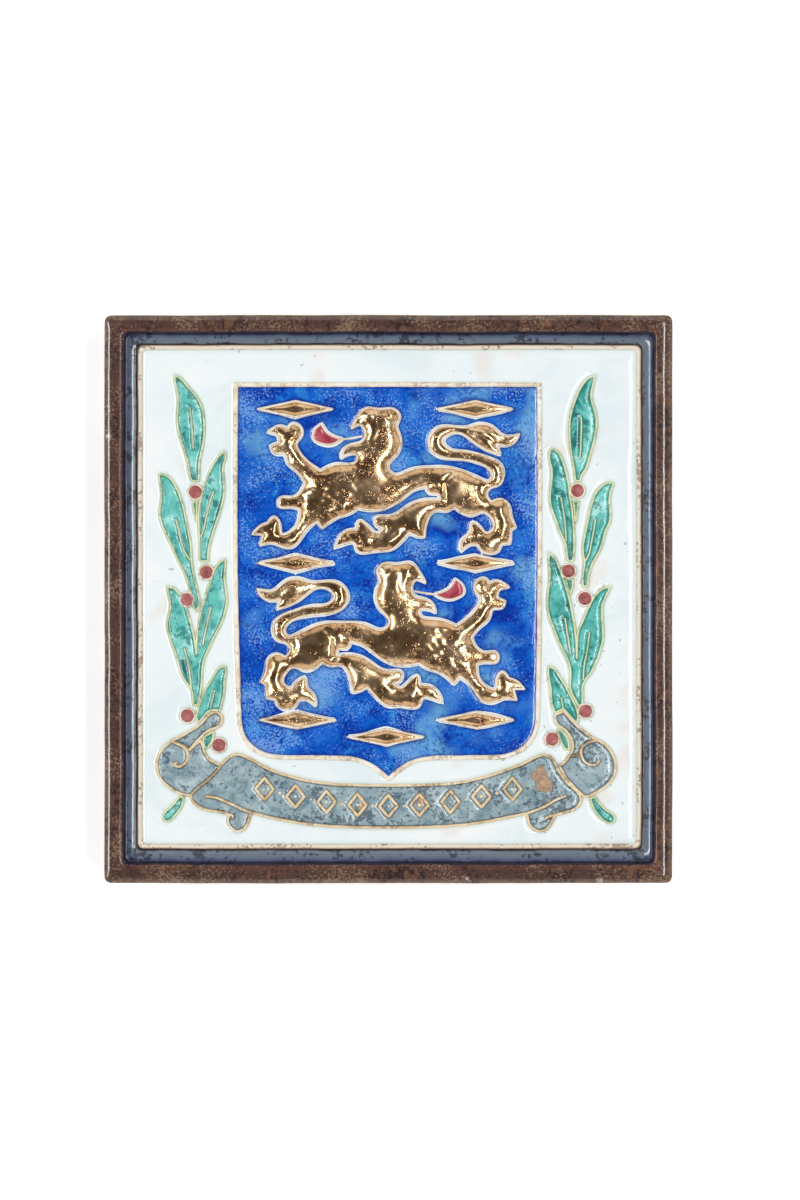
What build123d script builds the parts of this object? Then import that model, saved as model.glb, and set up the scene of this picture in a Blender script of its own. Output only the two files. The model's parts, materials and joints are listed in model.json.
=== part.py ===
from build123d import *
import os
from math import pi, sin

# A square relief tile, fired as one piece of clay.
# It lies on its back: +Z is the picture side and +Y is the picture's upward direction.
# The origin is the centre of the flat back.
# All sizes are in millimetres.

# Body and moulded frame
TILE_SIDE = 108.0  # across the back, the widest part
TILE_HEIGHT = 12.0  # back to the crest of the rim
SIDE_LEAN = 0.25  # how far the side walls lean in, so that the tile leaves its mould
CORNER_RADIUS = 1.6  # plan radius of the four outer corners
RIM_WIDTH = 3.9  # brown outer rim, from the side of the tile to the foot of the rim's inner wall
RIM_INNER_LEAN = 0.25  # how far that inner wall leans back
RIM_OUTER_ROUND = 1.1
RIM_INNER_BEVEL = 0.5
CHANNEL_DEPTH = 2.4  # rim crest to the foot of the rim's inner wall
CHANNEL_RISE = 0.8  # from that foot up to the border ridge

# Raised picture
PICTURE_SIDE = 96.0  # over the border ridge
FIELD_DEPTH = 1.4  # rim crest down to the glazed ground
RIDGE_WIDTH = 0.85
RIDGE_HEIGHT = 0.4  # the clay ridges stand this far above the ground
LION_HEIGHT = 1.0
LION_CREST = 0.25  # a crest along each limb, above the figure
CHARGE_HEIGHT = 0.65  # the small gold lozenges
CHARGE_FOOT = 0.15  # their sides stand upright this high, then lean in
CHARGE_SLOPE = 50  # how far the sides lean from upright, in degrees
LEAF_HEIGHT = 0.35
VEIN_HEIGHT = 0.45
BERRY_HEIGHT = 0.5
RIBBON_HEIGHT = 0.4  # the banner across the foot
ROLL_HEIGHT = 0.6  # the ribbon's rolled ends, which lie over the banner
TAIL_HEIGHT = 0.3
CURL_HEIGHT = 0.15  # the lines of its curls and folds, above the ribbon
ORNAMENT_HEIGHT = 0.25  # above the ribbon
ROOT = 0.5  # how deep a raised shape is rooted in the body

# Keyed back
KEY_DEPTH = 0.8
KEY_WIDTH = 5.0
KEY_PITCH = 13.0
KEY_COUNT = 6  # an even number leaves a flat land down the middle of the back
KEY_MARGIN = 12.0  # plain clay left round the keyed part

STEP = 0.19  # one step of the grid the picture is drawn on, counted from the tile's centre

# One heraldic lion walking to the left: a third value marks a sharp corner
LION = [
    (-22, 191), (-30, 183), (-37, 171, 1), (-27, 174), (-23, 167), (-26, 158),
    (-36, 155), (-43, 151), (-47, 142, 1), (-39, 145), (-31, 144), (-32, 138),
    (-42, 135), (-54, 134), (-68, 128, 1), (-80, 137), (-89, 147), (-92, 156),
    (-87, 164), (-89, 173), (-97, 175), (-100, 170, 1), (-108, 173), (-120, 167, 1),
    (-110, 163), (-109, 156, 1), (-117, 153, 1), (-113, 146), (-104, 145), (-101, 138),
    (-92, 128), (-83, 117, 1), (-87, 108), (-97, 102), (-108, 101), (-109, 93),
    (-99, 92), (-88, 90, 1), (-89, 80), (-97, 68), (-107, 65), (-109, 76), (-114, 82),
    (-120, 76, 1), (-128, 73), (-136, 65, 1), (-125, 65, 1), (-128, 54, 1), (-116, 56),
    (-104, 52), (-95, 53), (-84, 67), (-71, 78, 1), (-66, 71, 1), (-52, 81), (-38, 86),
    (-31, 91, 1), (-12, 89), (8, 96), (24, 108), (38, 113, 1), (42, 106), (50, 105),
    (52, 99, 1), (36, 99), (16, 91), (0, 83), (-13, 81), (-12, 74), (-4, 71, 1),
    (-12, 66), (-21, 73), (-29, 78), (-31, 69, 1), (-42, 68), (-49, 62), (-53, 52, 1),
    (-42, 56), (-34, 56), (-31, 49), (-12, 48), (2, 49), (12, 57), (21, 67, 1),
    (29, 63), (36, 62, 1), (38, 76), (48, 89), (57, 88), (66, 92, 1), (74, 86),
    (84, 84), (95, 87), (103, 81), (105, 70), (98, 66), (91, 73), (84, 76), (82, 68),
    (75, 59), (73, 49, 1), (83, 55), (90, 54, 1), (94, 48), (108, 47), (113, 55, 1),
    (121, 56, 1), (122, 70, 1), (127, 72, 1), (122, 84), (119, 96), (112, 100),
    (103, 97, 1), (98, 105), (102, 111), (110, 114), (115, 124), (112, 134),
    (96, 143), (76, 148), (59, 151), (54, 158), (60, 165), (74, 165), (84, 158),
    (96, 150), (111, 145, 1), (108, 155, 1), (120, 154), (127, 158), (131, 165, 1),
    (114, 164), (104, 172), (90, 175), (78, 172), (62, 173), (48, 170), (41, 160),
    (44, 148), (58, 141), (78, 139), (93, 135), (101, 130), (104, 123), (100, 117, 1), (87, 122),
    (68, 130), (46, 132), (22, 129), (4, 125), (-1, 132), (7, 144), (12, 155),
    (11, 165), (8, 174), (11, 183), (5, 190), (-9, 190),
]
LION_TONGUE = [
    (-67, 175, 1), (-74, 169), (-75, 161), (-68, 156), (-57, 155), (-46, 160, 1),
    (-56, 163), (-63, 168),
]
LION_CRESTS = [  # middle line of each crest, then its half width
    ([(-10, 185), (-1, 172), (-12, 152), (-14, 134), (-24, 114)], 11),
    ([(-70, 106), (-40, 113), (-10, 107), (20, 118), (50, 116), (82, 106), (96, 96)], 9),
    ([(-70, 116), (-84, 130), (-97, 146), (-99, 158), (-97, 168)], 6),
    ([(-66, 100), (-78, 82), (-88, 66), (-102, 59), (-116, 62)], 6),
    ([(50, 84), (32, 80), (14, 68), (-8, 58), (-38, 61)], 6),
    ([(88, 96), (106, 92), (112, 78), (107, 62), (90, 57)], 6),
    ([(107, 112), (108, 126), (90, 140), (66, 144), (51, 150)], 3),
    ([(50, 163), (66, 169), (86, 168), (106, 158)], 5),
]
CREST_FULLNESS = 0.85  # below 1 the widest part of a crest moves from its middle towards its start
LOWER_LION_DROP = 155  # the lower lion stands this much further down, and walks to the right

# Lozenges: centre of each, then the half length and half height they share
LOZENGES = [(-93, 190), (87, 190), (-93, 36), (87, 36), (-91, -121), (88, -121), (-2, -138)]
LOZENGE_HALF_LENGTH = 37
LOZENGE_HALF_HEIGHT = 8

# The shield's ridge, along its middle: the right half of the foot runs from the straight side to the point
SHIELD_HALF_WIDTH = 151
SHIELD_TOP = 214.5
SHIELD_SHOULDER = -112  # where the straight side ends and the foot begins
SHIELD_FOOT = [(148.5, -132), (138, -147.5), (120, -156.3), (94, -158.3),
               (54, -158.8), (33.5, -160.3), (22.3, -164), (11.5, -170.5), (-1, -181)]

# Leaves and stalks, each a closed outline: the left branch from the top down, then the right one
LEAVES = [
    [(-214, 223.5, 1), (-213, 215), (-211, 206), (-210.2, 197), (-210.8, 187), (-211, 177), (-209.7, 167),
     (-206.8, 157), (-203.2, 147), (-200.5, 137), (-198.7, 127), (-197, 118.5, 1), (-190, 118.5, 1),
     (-189.7, 128), (-189, 138), (-187, 148), (-185, 158), (-184.3, 168), (-184.5, 179), (-186, 189),
     (-190, 199), (-196, 207), (-203, 215), (-208.5, 221)],
    [(-195.7, 97, 1), (-191.8, 97, 1), (-191.8, 85), (-191.5, 77, 1), (-194, 86)],
    [(-163.5, 147.5, 1), (-168, 144.5), (-173, 138), (-178, 129), (-182.5, 118), (-186, 107), (-188.5, 96),
     (-189.7, 85), (-189.7, 74), (-189, 62), (-188.7, 50), (-188.5, 38, 1), (-180.5, 38, 1), (-180.3, 48),
     (-178, 59), (-174.5, 70), (-170.5, 82), (-166.8, 94), (-164.7, 105), (-164.7, 116), (-165.5, 126),
     (-164.8, 135), (-163, 141)],
    [(-229.5, 124.5, 1), (-228.5, 117), (-227, 109), (-226.7, 101), (-228.3, 92), (-228.7, 83), (-226, 74),
     (-222, 65), (-218, 56), (-213.5, 46), (-209.5, 37), (-205, 28.5), (-201.5, 20), (-199, 11), (-196.8, 2),
     (-195, -6), (-192, -12, 1), (-189.3, -5), (-190, 3), (-192, 12), (-194.5, 22), (-196.3, 32), (-197, 43),
     (-198, 54), (-199.7, 65), (-202, 77), (-204.8, 89), (-208, 101), (-211.5, 110), (-216, 117.5),
     (-222, 123.5)],
    [(-221, 12, 1), (-220, 5), (-218, -3), (-218, -10), (-220, -18), (-221, -27), (-219.5, -35), (-216.5, -44),
     (-213, -54), (-210, -64), (-207.5, -73), (-204, -80.5), (-200, -86.5), (-197, -91), (-195.5, -98),
     (-195, -106, 1), (-190.5, -105.5, 1), (-188.5, -96), (-187, -86), (-186.5, -75), (-185.5, -65),
     (-182.5, -55), (-178, -45), (-173, -35), (-168, -25), (-164, -14), (-162, -4), (-162.3, 6), (-163.8, 16),
     (-163.8, 26), (-163, 34), (-163.5, 39.5, 1), (-168, 37), (-173, 30.5), (-177, 21), (-180.5, 11),
     (-183.5, 1), (-186.5, -9), (-188.7, -19), (-190.5, -30), (-191.8, -42), (-192.2, -56, 1), (-193.5, -44),
     (-195.5, -34), (-198, -24), (-200.5, -15), (-203.5, -6), (-207, 2), (-211.5, 8), (-216, 11.5)],
    [(-163.5, -67, 1), (-168, -68.5), (-173, -74), (-177.5, -81.5), (-181.5, -88), (-185, -95), (-188, -103),
     (-190.5, -111), (-192, -118), (-190.5, -123.5, 1), (-186, -119), (-181.5, -113.5), (-178, -111, 1),
     (-168.5, -111, 1), (-167, -104), (-165, -97), (-164.3, -88), (-164, -80), (-162.8, -73)],
    [(-175, -132, 1), (-180, -135.3), (-184.5, -139), (-185, -144), (-182.5, -149.5, 1), (-179, -146),
     (-176.5, -141), (-175, -136)],
    [(-205, -198, 1), (-209, -197.5, 1), (-213, -203), (-218, -208.5), (-223.5, -213), (-225.5, -217.5),
     (-224, -221.5), (-220, -222), (-215.5, -218.5), (-210.5, -212.5), (-206.5, -206)],
    [(206.5, 223.5, 1), (201, 221.5), (195.5, 216), (190.5, 208), (186.5, 198), (183.3, 188), (181.5, 178),
     (181, 168), (181.5, 158), (182.8, 148), (184.5, 138), (186, 128), (187, 118.5, 1), (191.5, 118.5, 1),
     (193, 124), (196.5, 129), (199.3, 136), (201.5, 144), (204, 153), (206.3, 162), (207.8, 171), (207.8, 180),
     (206, 189), (203.5, 197), (202.6, 205), (204.2, 213)],
    [(184.6, 97.5, 1), (190, 97.5, 1), (188.9, 88), (187, 77, 1), (186.3, 87)],
    [(162.5, 150.5, 1), (161, 144), (162.3, 135), (163.4, 126), (163, 117), (162, 108), (161.7, 99), (163.5, 90),
     (167, 81), (170.5, 71), (173.8, 63), (177, 56), (178.2, 47), (179.5, 38.5, 1), (184.5, 38.5, 1),
     (185.5, 50), (185.5, 62), (185, 74), (184, 86), (182, 98), (181, 108), (179.5, 119), (176.5, 131),
     (172.5, 142), (168, 148)],
    [(225, 116, 1), (218.5, 116), (212, 111.5), (207, 105), (203.5, 96), (201, 86), (199, 76), (197, 66),
     (195, 56), (194.5, 47), (196, 38), (195.2, 29), (194.5, 21), (194.5, 13, 1), (199, 13, 1), (199.7, 21),
     (201.5, 29), (204.5, 37), (208.5, 44), (212.3, 52), (214.8, 60), (217, 68), (220.5, 75), (221.8, 83),
     (221.3, 92), (221, 100), (222.3, 108)],
    [(177.5, 19.5, 1), (184.3, 19.5, 1), (183.8, 12), (181.8, 5.5, 1), (179.5, 12)],
    [(160.5, 46.5, 1), (160.5, 38), (161.5, 28), (161.3, 18), (159.8, 8), (159, -3), (160, -13), (163, -23),
     (166.5, -32), (170.5, -42), (175, -52), (179, -60), (181.8, -69), (182.3, -78), (181.8, -87), (184, -95),
     (187.5, -102), (190, -107, 1), (193.7, -105, 1), (194, -95), (194.3, -86), (197.5, -80), (202, -74),
     (206.5, -65), (210.5, -56), (213.3, -46), (214.5, -36), (214, -26), (213.3, -16), (213.7, -7), (216, 0),
     (219, 6), (222, 12.5, 1), (215.5, 10.8), (209.5, 6.5), (204.5, 0), (200.5, -8), (197, -16), (193.5, -24),
     (190.2, -32), (188.9, -42), (188.4, -60, 1), (188, -46), (187.2, -36), (185.6, -25), (183.5, -13),
     (181.1, -1), (178, 10), (174.5, 21), (170.5, 32), (166, 41)],
    [(160.5, -67.5, 1), (159.8, -74), (161, -82), (162.5, -90), (163, -99), (164.3, -107), (166.5, -113.5, 1),
     (175, -109.5, 1), (180, -115), (184.5, -120), (188.5, -124, 1), (189.5, -117), (188.3, -110),
     (185.3, -103), (181.8, -96), (178, -89), (174, -82), (169.5, -75), (165, -69.5)],
    [(169.5, -130.5, 1), (174, -133), (178, -138.5), (180.3, -145), (180.5, -151, 1), (176.8, -149.5),
     (173.8, -144.5), (171.5, -138.5)],
    [(202, -199.5, 1), (206.5, -197.5, 1), (209.5, -202.5), (214, -208), (219.5, -212.5), (225, -216.5),
     (226, -221), (222.5, -224), (217, -222.5), (211, -217), (206, -210)],
]
VEIN_HALF_WIDTH = 0.9
VEINS = [
    [(-195, 150), (-195.7, 162), (-196.5, 173), (-197.5, 183), (-198.5, 192)],
    [(-187.5, 62), (-184.5, 70), (-182.5, 80), (-180, 90), (-177.5, 100), (-175, 108)],
    [(-198, 39), (-202, 44), (-205.5, 52), (-208, 61), (-210, 71), (-212.5, 80)],
    [(-197, -89), (-198, -78), (-199.5, -68), (-201.5, -58), (-204, -49)],
    [(-185.5, -46), (-184, -37), (-182, -28), (-180, -18), (-177.5, -8)],
    [(-178, -109), (-176.5, -103), (-175, -97), (-173.5, -91)],
    [(191.5, 141), (192.3, 151), (192.6, 161), (193, 172), (192.7, 182)],
    [(177.8, 58), (177.3, 68), (176.3, 79), (174.5, 90), (172.5, 102)],
    [(197, 38), (200.5, 45), (202.5, 53), (204, 62), (205.7, 71), (207, 80)],
    [(182, -55), (180.8, -46), (179.5, -37), (178, -28), (176.5, -19)],
    [(195, -81), (195.3, -70), (197, -60), (199, -50), (200.3, -41), (201, -33)],
    [(175, -109), (173.8, -104), (172.8, -98)],
]
BERRIES = [
    (-193, 107), (-182, 27), (-201.5, -0.5), (-201, -116.5), (-169.5, -146),
    (189, 108.5), (180, 28), (196.5, 0.5), (197, -112), (163.7, -140),
]
BERRY_RADIUS = 7.2

# Ribbon: tails, rolls and the banner between them, with its folded ends. Where one lies over the next, the
# lower one runs on underneath.
RIBBON_TAILS = [
    [(-221, -151, 1), (-216, -142.3), (-209, -138), (-200, -133), (-191, -127.5), (-184, -121), (-179, -115.5),
     (-174.5, -113), (-169.5, -114), (-166.5, -118.5), (-167.5, -124), (-171.5, -128), (-178, -130.5),
     (-184, -134.5), (-190, -140.5), (-195, -146), (-200, -153), (-206, -160, 1)],
    [(212, -150, 1), (207.5, -141.3), (201, -136.5), (193.5, -131), (187, -125), (181, -118.5),
     (175.5, -112, 1), (171, -114), (166.5, -116, 1), (167, -121), (170, -126), (175.5, -129.7),
     (180, -134.5), (183, -139.5), (184.7, -145), (184.5, -152), (184, -161, 1)],
]
RIBBON_ROLLS = [
    [(-217, -142, 1), (-223, -147), (-228.5, -154), (-231, -162), (-231, -170), (-228.5, -178), (-224, -184),
     (-217.5, -189), (-211, -193), (-205, -195.5), (-197.5, -196, 1), (-193.5, -191.5), (-188.5, -187),
     (-182, -182), (-176, -176.5), (-171, -171), (-167.5, -166, 1), (-173, -164), (-179, -160.5),
     (-183, -155.5), (-185, -149.5), (-187.5, -141.5, 1), (-193, -145.5), (-199, -151, 1), (-203.5, -147.5),
     (-210, -144.5)],
    [(208.5, -141, 1), (214, -144), (220, -149.5), (224.5, -156.5), (226.8, -164), (226.8, -171),
     (224.5, -178), (220, -184.5), (214, -189.5), (207, -193.5), (201.5, -196.5), (195.5, -197, 1), (190, -192),
     (184, -186), (178, -179), (174, -172.5), (171, -166.5, 1), (177, -162.5), (181, -156.5, 1), (189, -156),
     (192.5, -151, 1), (196, -145.5), (201, -142.5)],
]
BANNER = [
    (-174, -168, 1), (-166, -164.3), (-160, -158.7), (-153, -155.5), (-145, -157), (-125, -167.5), (-103, -176),
    (-80, -182), (-34, -186), (34, -186), (80, -182), (103, -176), (125, -168.5), (140, -162), (150, -157),
    (158, -156.3), (163.5, -159.5), (167.5, -164), (177, -168.5, 1), (200, -188, 1), (192.5, -199),
    (189.5, -207), (184, -211), (176, -213.3), (167, -216, 1), (164, -221), (160.5, -227), (154.5, -231.5),
    (147.5, -231), (142, -226.5), (139.5, -220), (139, -214, 1), (115, -219), (94, -223), (65, -226.5),
    (34, -228), (-34, -228), (-65, -226.5), (-94, -223), (-115, -219), (-138, -213, 1), (-139, -218),
    (-141, -224), (-145, -230), (-151, -232.5), (-157, -229), (-160.5, -223), (-159, -215.5, 1),
    (-166, -213.5), (-175, -212), (-185, -210), (-192.5, -205.5), (-197.3, -199), (-203, -188, 1),
]
ROLL_CURLS = [
    [(-201, -154.5), (-200.6, -158), (-202.5, -163.5), (-207, -167), (-212, -167.3)],
    [(193.3, -153), (193, -156), (195.3, -161.3), (200, -165), (205, -166), (209.3, -163.7), (211, -160)],
]
FOLD_LINES = [
    [(-145, -210.7), (-152, -207.5), (-160, -203.7), (-168, -200.3), (-176, -198), (-183, -197.2)],
    [(147, -211.3), (155, -208), (163, -203.5), (170, -199.7), (178, -197)],
]
CURL_HALF_WIDTH = 1.3
ORNAMENT_COUNT = 9  # raised lozenges along the bare ribbon
ORNAMENT_HALF_LENGTH = 9
ORNAMENT_HALF_HEIGHT = 11
ORNAMENT_SPACING = 31
BANNER_MIDDLE = -207  # the ribbon's middle line at its lowest
BANNER_BOW = 17  # how far that line rises at the outermost lozenge

# Levels worked out from the sizes above
ground = TILE_HEIGHT - FIELD_DEPTH
ridge_top = ground + RIDGE_HEIGHT
channel_foot = TILE_HEIGHT - CHANNEL_DEPTH
channel_side = TILE_SIDE - 2 * RIM_WIDTH
root_level = ground - ROOT


def at(point):
    """A grid point as millimetres on the picture."""
    return (point[0] * STEP, point[1] * STEP)


def outline(points):
    """A closed face whose edge runs smoothly from each marked corner to the next."""
    corners = [i for i, p in enumerate(points) if len(p) == 3]
    turned = points[corners[0]:] + points[:corners[0]] if corners else points
    if not corners:
        return make_face(Spline([at(p) for p in turned], periodic=True))
    marks = [i for i, p in enumerate(turned) if len(p) == 3] + [len(turned)]
    looped = turned + turned[:1]
    edges = []
    for start, end in zip(marks, marks[1:]):
        run = [at(p) for p in looped[start:end + 1]]
        edges.append(Line(run[0], run[1]) if len(run) == 2 else Spline(run))
    return make_face(Wire(edges))


def blade(middle, half_width, taper=True, steps=6):
    """A crest or a line of even width: two sides that stand off a middle line, and may meet at its ends."""
    spine = Spline([at(p) for p in middle])
    sides = []
    for sign in (1, -1):
        side = []
        for i in range(steps + 1):
            t = i / steps
            swell = max(0, sin(pi * t ** CREST_FULLNESS)) if taper else 1
            tangent = spine % t
            normal = Vector(-tangent.Y, tangent.X, 0)
            side.append(spine @ t + normal * (sign * half_width * STEP * swell))
        sides.append(side)
    if taper:
        edges = [Spline(sides[0]), Spline(sides[1])]
    else:
        edges = [Spline(sides[0]), Line(sides[0][-1], sides[1][-1]),
                 Spline(sides[1]), Line(sides[0][0], sides[1][0])]
    return make_face(Wire(edges))


def raised(face, height):
    """The solid of a flat shape that stands above the ground, rooted in the body."""
    return extrude(Pos(0, 0, root_level) * face, ROOT + height, dir=(0, 0, 1))


def gabled(face, foot, height):
    """A flat shape raised with upright sides at its foot that then lean in, rooted in the body."""
    top = extrude(Pos(0, 0, ground + foot) * face, height - foot, taper=CHARGE_SLOPE, dir=(0, 0, 1))
    return raised(face, foot) + top


def dome(centre):
    """A berry: the cap of a sphere, which is as wide as the berry where it meets the ground."""
    half_width = BERRY_RADIUS * STEP
    radius = (half_width ** 2 + BERRY_HEIGHT ** 2) / (2 * BERRY_HEIGHT)
    return Pos(*at(centre), ground + BERRY_HEIGHT - radius) * Sphere(radius)


def lozenge(centre, half_length, half_height):
    u, v = centre
    corners = [(u - half_length, v), (u, v + half_height), (u + half_length, v), (u, v - half_height)]
    return make_face(Polyline([at(p) for p in corners], close=True))


def lowered(points):
    """The lower lion's drawing: turned to the right and moved down."""
    return [(-p[0], p[1] - LOWER_LION_DROP, *p[2:]) for p in points]


def square(side, level, radius=0):
    """A square at one level, with rounded corners if a radius is given."""
    plan = RectangleRounded(side, side, radius) if radius else Rectangle(side, side)
    return Pos(0, 0, level) * plan


def build_body():
    """The moulded blank: leaning sides, rounded rim, sunk channel and raised ground."""
    top_side = TILE_SIDE - 2 * SIDE_LEAN
    blank = loft([square(TILE_SIDE, 0, CORNER_RADIUS), square(top_side, TILE_HEIGHT, CORNER_RADIUS)])
    mouth = channel_side + 2 * RIM_INNER_LEAN
    bevel_foot = TILE_HEIGHT - RIM_INNER_BEVEL
    sunk = loft([square(channel_side, channel_foot), square(mouth, bevel_foot)])
    bevel = loft([square(mouth, bevel_foot), square(mouth + 2 * RIM_INNER_BEVEL, TILE_HEIGHT)])
    blank = blank - sunk - bevel
    top_edges = blank.edges().filter_by_position(Axis.Z, TILE_HEIGHT - 0.01, TILE_HEIGHT + 0.01)
    outer = [e for e in top_edges if max(abs(e.center().X), abs(e.center().Y)) > channel_side / 2 + RIM_WIDTH / 2]
    blank = fillet(outer, RIM_OUTER_ROUND)
    slope = loft([square(channel_side, channel_foot), square(PICTURE_SIDE, channel_foot + CHANNEL_RISE)])
    plateau = extrude(square(PICTURE_SIDE, channel_foot), ridge_top - channel_foot)
    hollow = extrude(square(PICTURE_SIDE - 2 * RIDGE_WIDTH, ground), FIELD_DEPTH)
    return blank + slope + plateau - hollow


def build_back_keys():
    """Shallow grooves in the back, which grip the tile adhesive."""
    span = TILE_SIDE - 2 * KEY_MARGIN
    first = -(KEY_COUNT - 1) * KEY_PITCH / 2
    return [Pos(first + i * KEY_PITCH, 0, 0) * Box(KEY_WIDTH, span, 2 * KEY_DEPTH) for i in range(KEY_COUNT)]


def shield_lines():
    """The clay line round the shield: its top, its two straight sides and the two halves of its foot."""
    half_line = RIDGE_WIDTH / 2 / STEP
    top, side = SHIELD_TOP + half_line, SHIELD_HALF_WIDTH + half_line
    frame = make_face(Polyline([at(p) for p in (
        (-side, top), (side, top), (side, SHIELD_SHOULDER), (-side, SHIELD_SHOULDER))], close=True))
    hollow = make_face(Polyline([at(p) for p in (
        (2 * half_line - side, top - 2 * half_line), (side - 2 * half_line, top - 2 * half_line),
        (side - 2 * half_line, SHIELD_SHOULDER - 9), (2 * half_line - side, SHIELD_SHOULDER - 9))], close=True))
    foot = blade([(SHIELD_HALF_WIDTH, SHIELD_SHOULDER)] + SHIELD_FOOT, half_line, taper=False, steps=24)
    right_half = Pos(TILE_SIDE / 2, 0, 0) * Rectangle(TILE_SIDE, TILE_SIDE)
    foot = foot & right_half
    return [frame - hollow, foot, mirror(foot, Plane.YZ)]


def build_picture():
    """Everything that stands above the ground, in groups whose shapes lie clear of each other."""
    figures, lines, leaves, berries, ribbon = [], [], [], [], []
    lines += [raised(line, RIDGE_HEIGHT) for line in shield_lines()]
    for figure, tongue in ((LION, LION_TONGUE), (lowered(LION), lowered(LION_TONGUE))):
        figures.append(raised(outline(figure), LION_HEIGHT))
        lines.append(raised(outline(tongue), RIDGE_HEIGHT))
    charge_plans = [lozenge(c, LOZENGE_HALF_LENGTH, LOZENGE_HALF_HEIGHT) for c in LOZENGES]
    figures += [gabled(plan, CHARGE_FOOT, CHARGE_HEIGHT) for plan in charge_plans]
    crests = []
    for middle, half in LION_CRESTS:
        crests.append([raised(blade(line, half), LION_HEIGHT + LION_CREST) for line in (middle, lowered(middle))])
    leaves += [raised(outline(leaf), LEAF_HEIGHT) for leaf in LEAVES]
    veins = [raised(blade(vein, VEIN_HALF_WIDTH, taper=False), VEIN_HEIGHT) for vein in VEINS]
    berries += [dome(c) for c in BERRIES]
    berries.append(raised(outline(BANNER), RIBBON_HEIGHT))
    for halves, height in ((RIBBON_TAILS, TAIL_HEIGHT), (RIBBON_ROLLS, ROLL_HEIGHT)):
        ribbon.append([raised(outline(half), height) for half in halves])
    curls = [raised(blade(c, CURL_HALF_WIDTH, taper=False, steps=12), ROLL_HEIGHT + CURL_HEIGHT) for c in ROLL_CURLS]
    folds = [raised(blade(c, CURL_HALF_WIDTH, taper=False), RIBBON_HEIGHT + CURL_HEIGHT) for c in FOLD_LINES]
    ornaments = []
    reach = (ORNAMENT_COUNT - 1) / 2 * ORNAMENT_SPACING
    for i in range(ORNAMENT_COUNT):
        u = i * ORNAMENT_SPACING - reach
        v = BANNER_MIDDLE + BANNER_BOW * (u / reach) ** 2
        ornaments.append(raised(lozenge((u, v), ORNAMENT_HALF_LENGTH, ORNAMENT_HALF_HEIGHT),
                                RIBBON_HEIGHT + ORNAMENT_HEIGHT))
    return [figures, *crests, lines, leaves, veins, berries, *ribbon, curls + folds, ornaments]


tile = build_body()
for group in build_picture():
    tile = tile.fuse(*group)
tile = tile.cut(*build_back_keys())

os.makedirs("parts", exist_ok=True)
export_step(tile, "parts/tile.step")
print("solids", len(tile.solids()), "faces", len(tile.faces()), "volume", tile.volume, "box", tile.bounding_box())
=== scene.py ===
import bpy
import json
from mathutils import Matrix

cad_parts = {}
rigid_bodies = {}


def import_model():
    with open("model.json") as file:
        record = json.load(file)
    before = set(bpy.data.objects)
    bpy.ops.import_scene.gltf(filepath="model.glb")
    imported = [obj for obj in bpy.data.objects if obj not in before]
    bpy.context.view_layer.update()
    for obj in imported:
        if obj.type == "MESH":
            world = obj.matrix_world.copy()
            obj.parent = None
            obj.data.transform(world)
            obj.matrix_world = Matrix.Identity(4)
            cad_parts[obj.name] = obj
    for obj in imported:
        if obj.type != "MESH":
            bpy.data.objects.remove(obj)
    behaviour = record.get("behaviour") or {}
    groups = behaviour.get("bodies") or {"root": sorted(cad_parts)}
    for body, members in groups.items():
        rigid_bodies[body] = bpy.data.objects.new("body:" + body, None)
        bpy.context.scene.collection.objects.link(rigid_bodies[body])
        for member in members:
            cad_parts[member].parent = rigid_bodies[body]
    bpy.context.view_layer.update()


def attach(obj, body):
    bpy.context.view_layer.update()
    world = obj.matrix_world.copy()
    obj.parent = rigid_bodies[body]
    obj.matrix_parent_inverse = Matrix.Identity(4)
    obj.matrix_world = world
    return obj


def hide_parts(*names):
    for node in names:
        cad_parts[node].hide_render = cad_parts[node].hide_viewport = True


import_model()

# %% [markdown]
# # A raised-line glazed tile
#
# The real tile is one piece of pressed clay. Thin clay lines stand up from its face like little dams. Each
# pool between the lines was filled with its own coloured glaze, and the lions were covered with gold lustre
# last. The script follows the same order: first the drawing, then the clay, then the clay lines, then each
# glaze. All drawing is done in millimetres, because a tile maker would measure it so. Only the finished
# meshes are turned into metres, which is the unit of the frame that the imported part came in.

# %% Units and the drawing grid
import json
import math

import bmesh
import bpy
import numpy as np
from mathutils import Vector, kdtree
from mathutils.geometry import delaunay_2d_cdt

MM = 0.001
STEP = 0.19  # millimetres in one step of the grid that the picture is drawn on
CAMERA_ABOVE_PICTURE = 538.3
PICTURE_LEVEL = 10.9
TILE_HALF = 54.0  # half the tile's side where it is widest
SHIFT = (0.2, 0.45)  # the picture sits this far right of and above the middle of the rim
rng = np.random.default_rng(7)


def grid(points):
    """Grid points as millimetres: an (n, 2) array."""
    return np.array([p[:2] for p in points], float) * STEP


print("one grid step is", STEP, "mm")

# %% [markdown]
# ## Smooth lines through hand-drawn points
#
# A potter draws a lion with a few confident strokes. Here each stroke is a short list of points, and a
# natural cubic spline finds the smooth line through them. A third value in a point marks a sharp corner,
# such as a claw, where one stroke stops and the next begins.

# %% Splines


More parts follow.
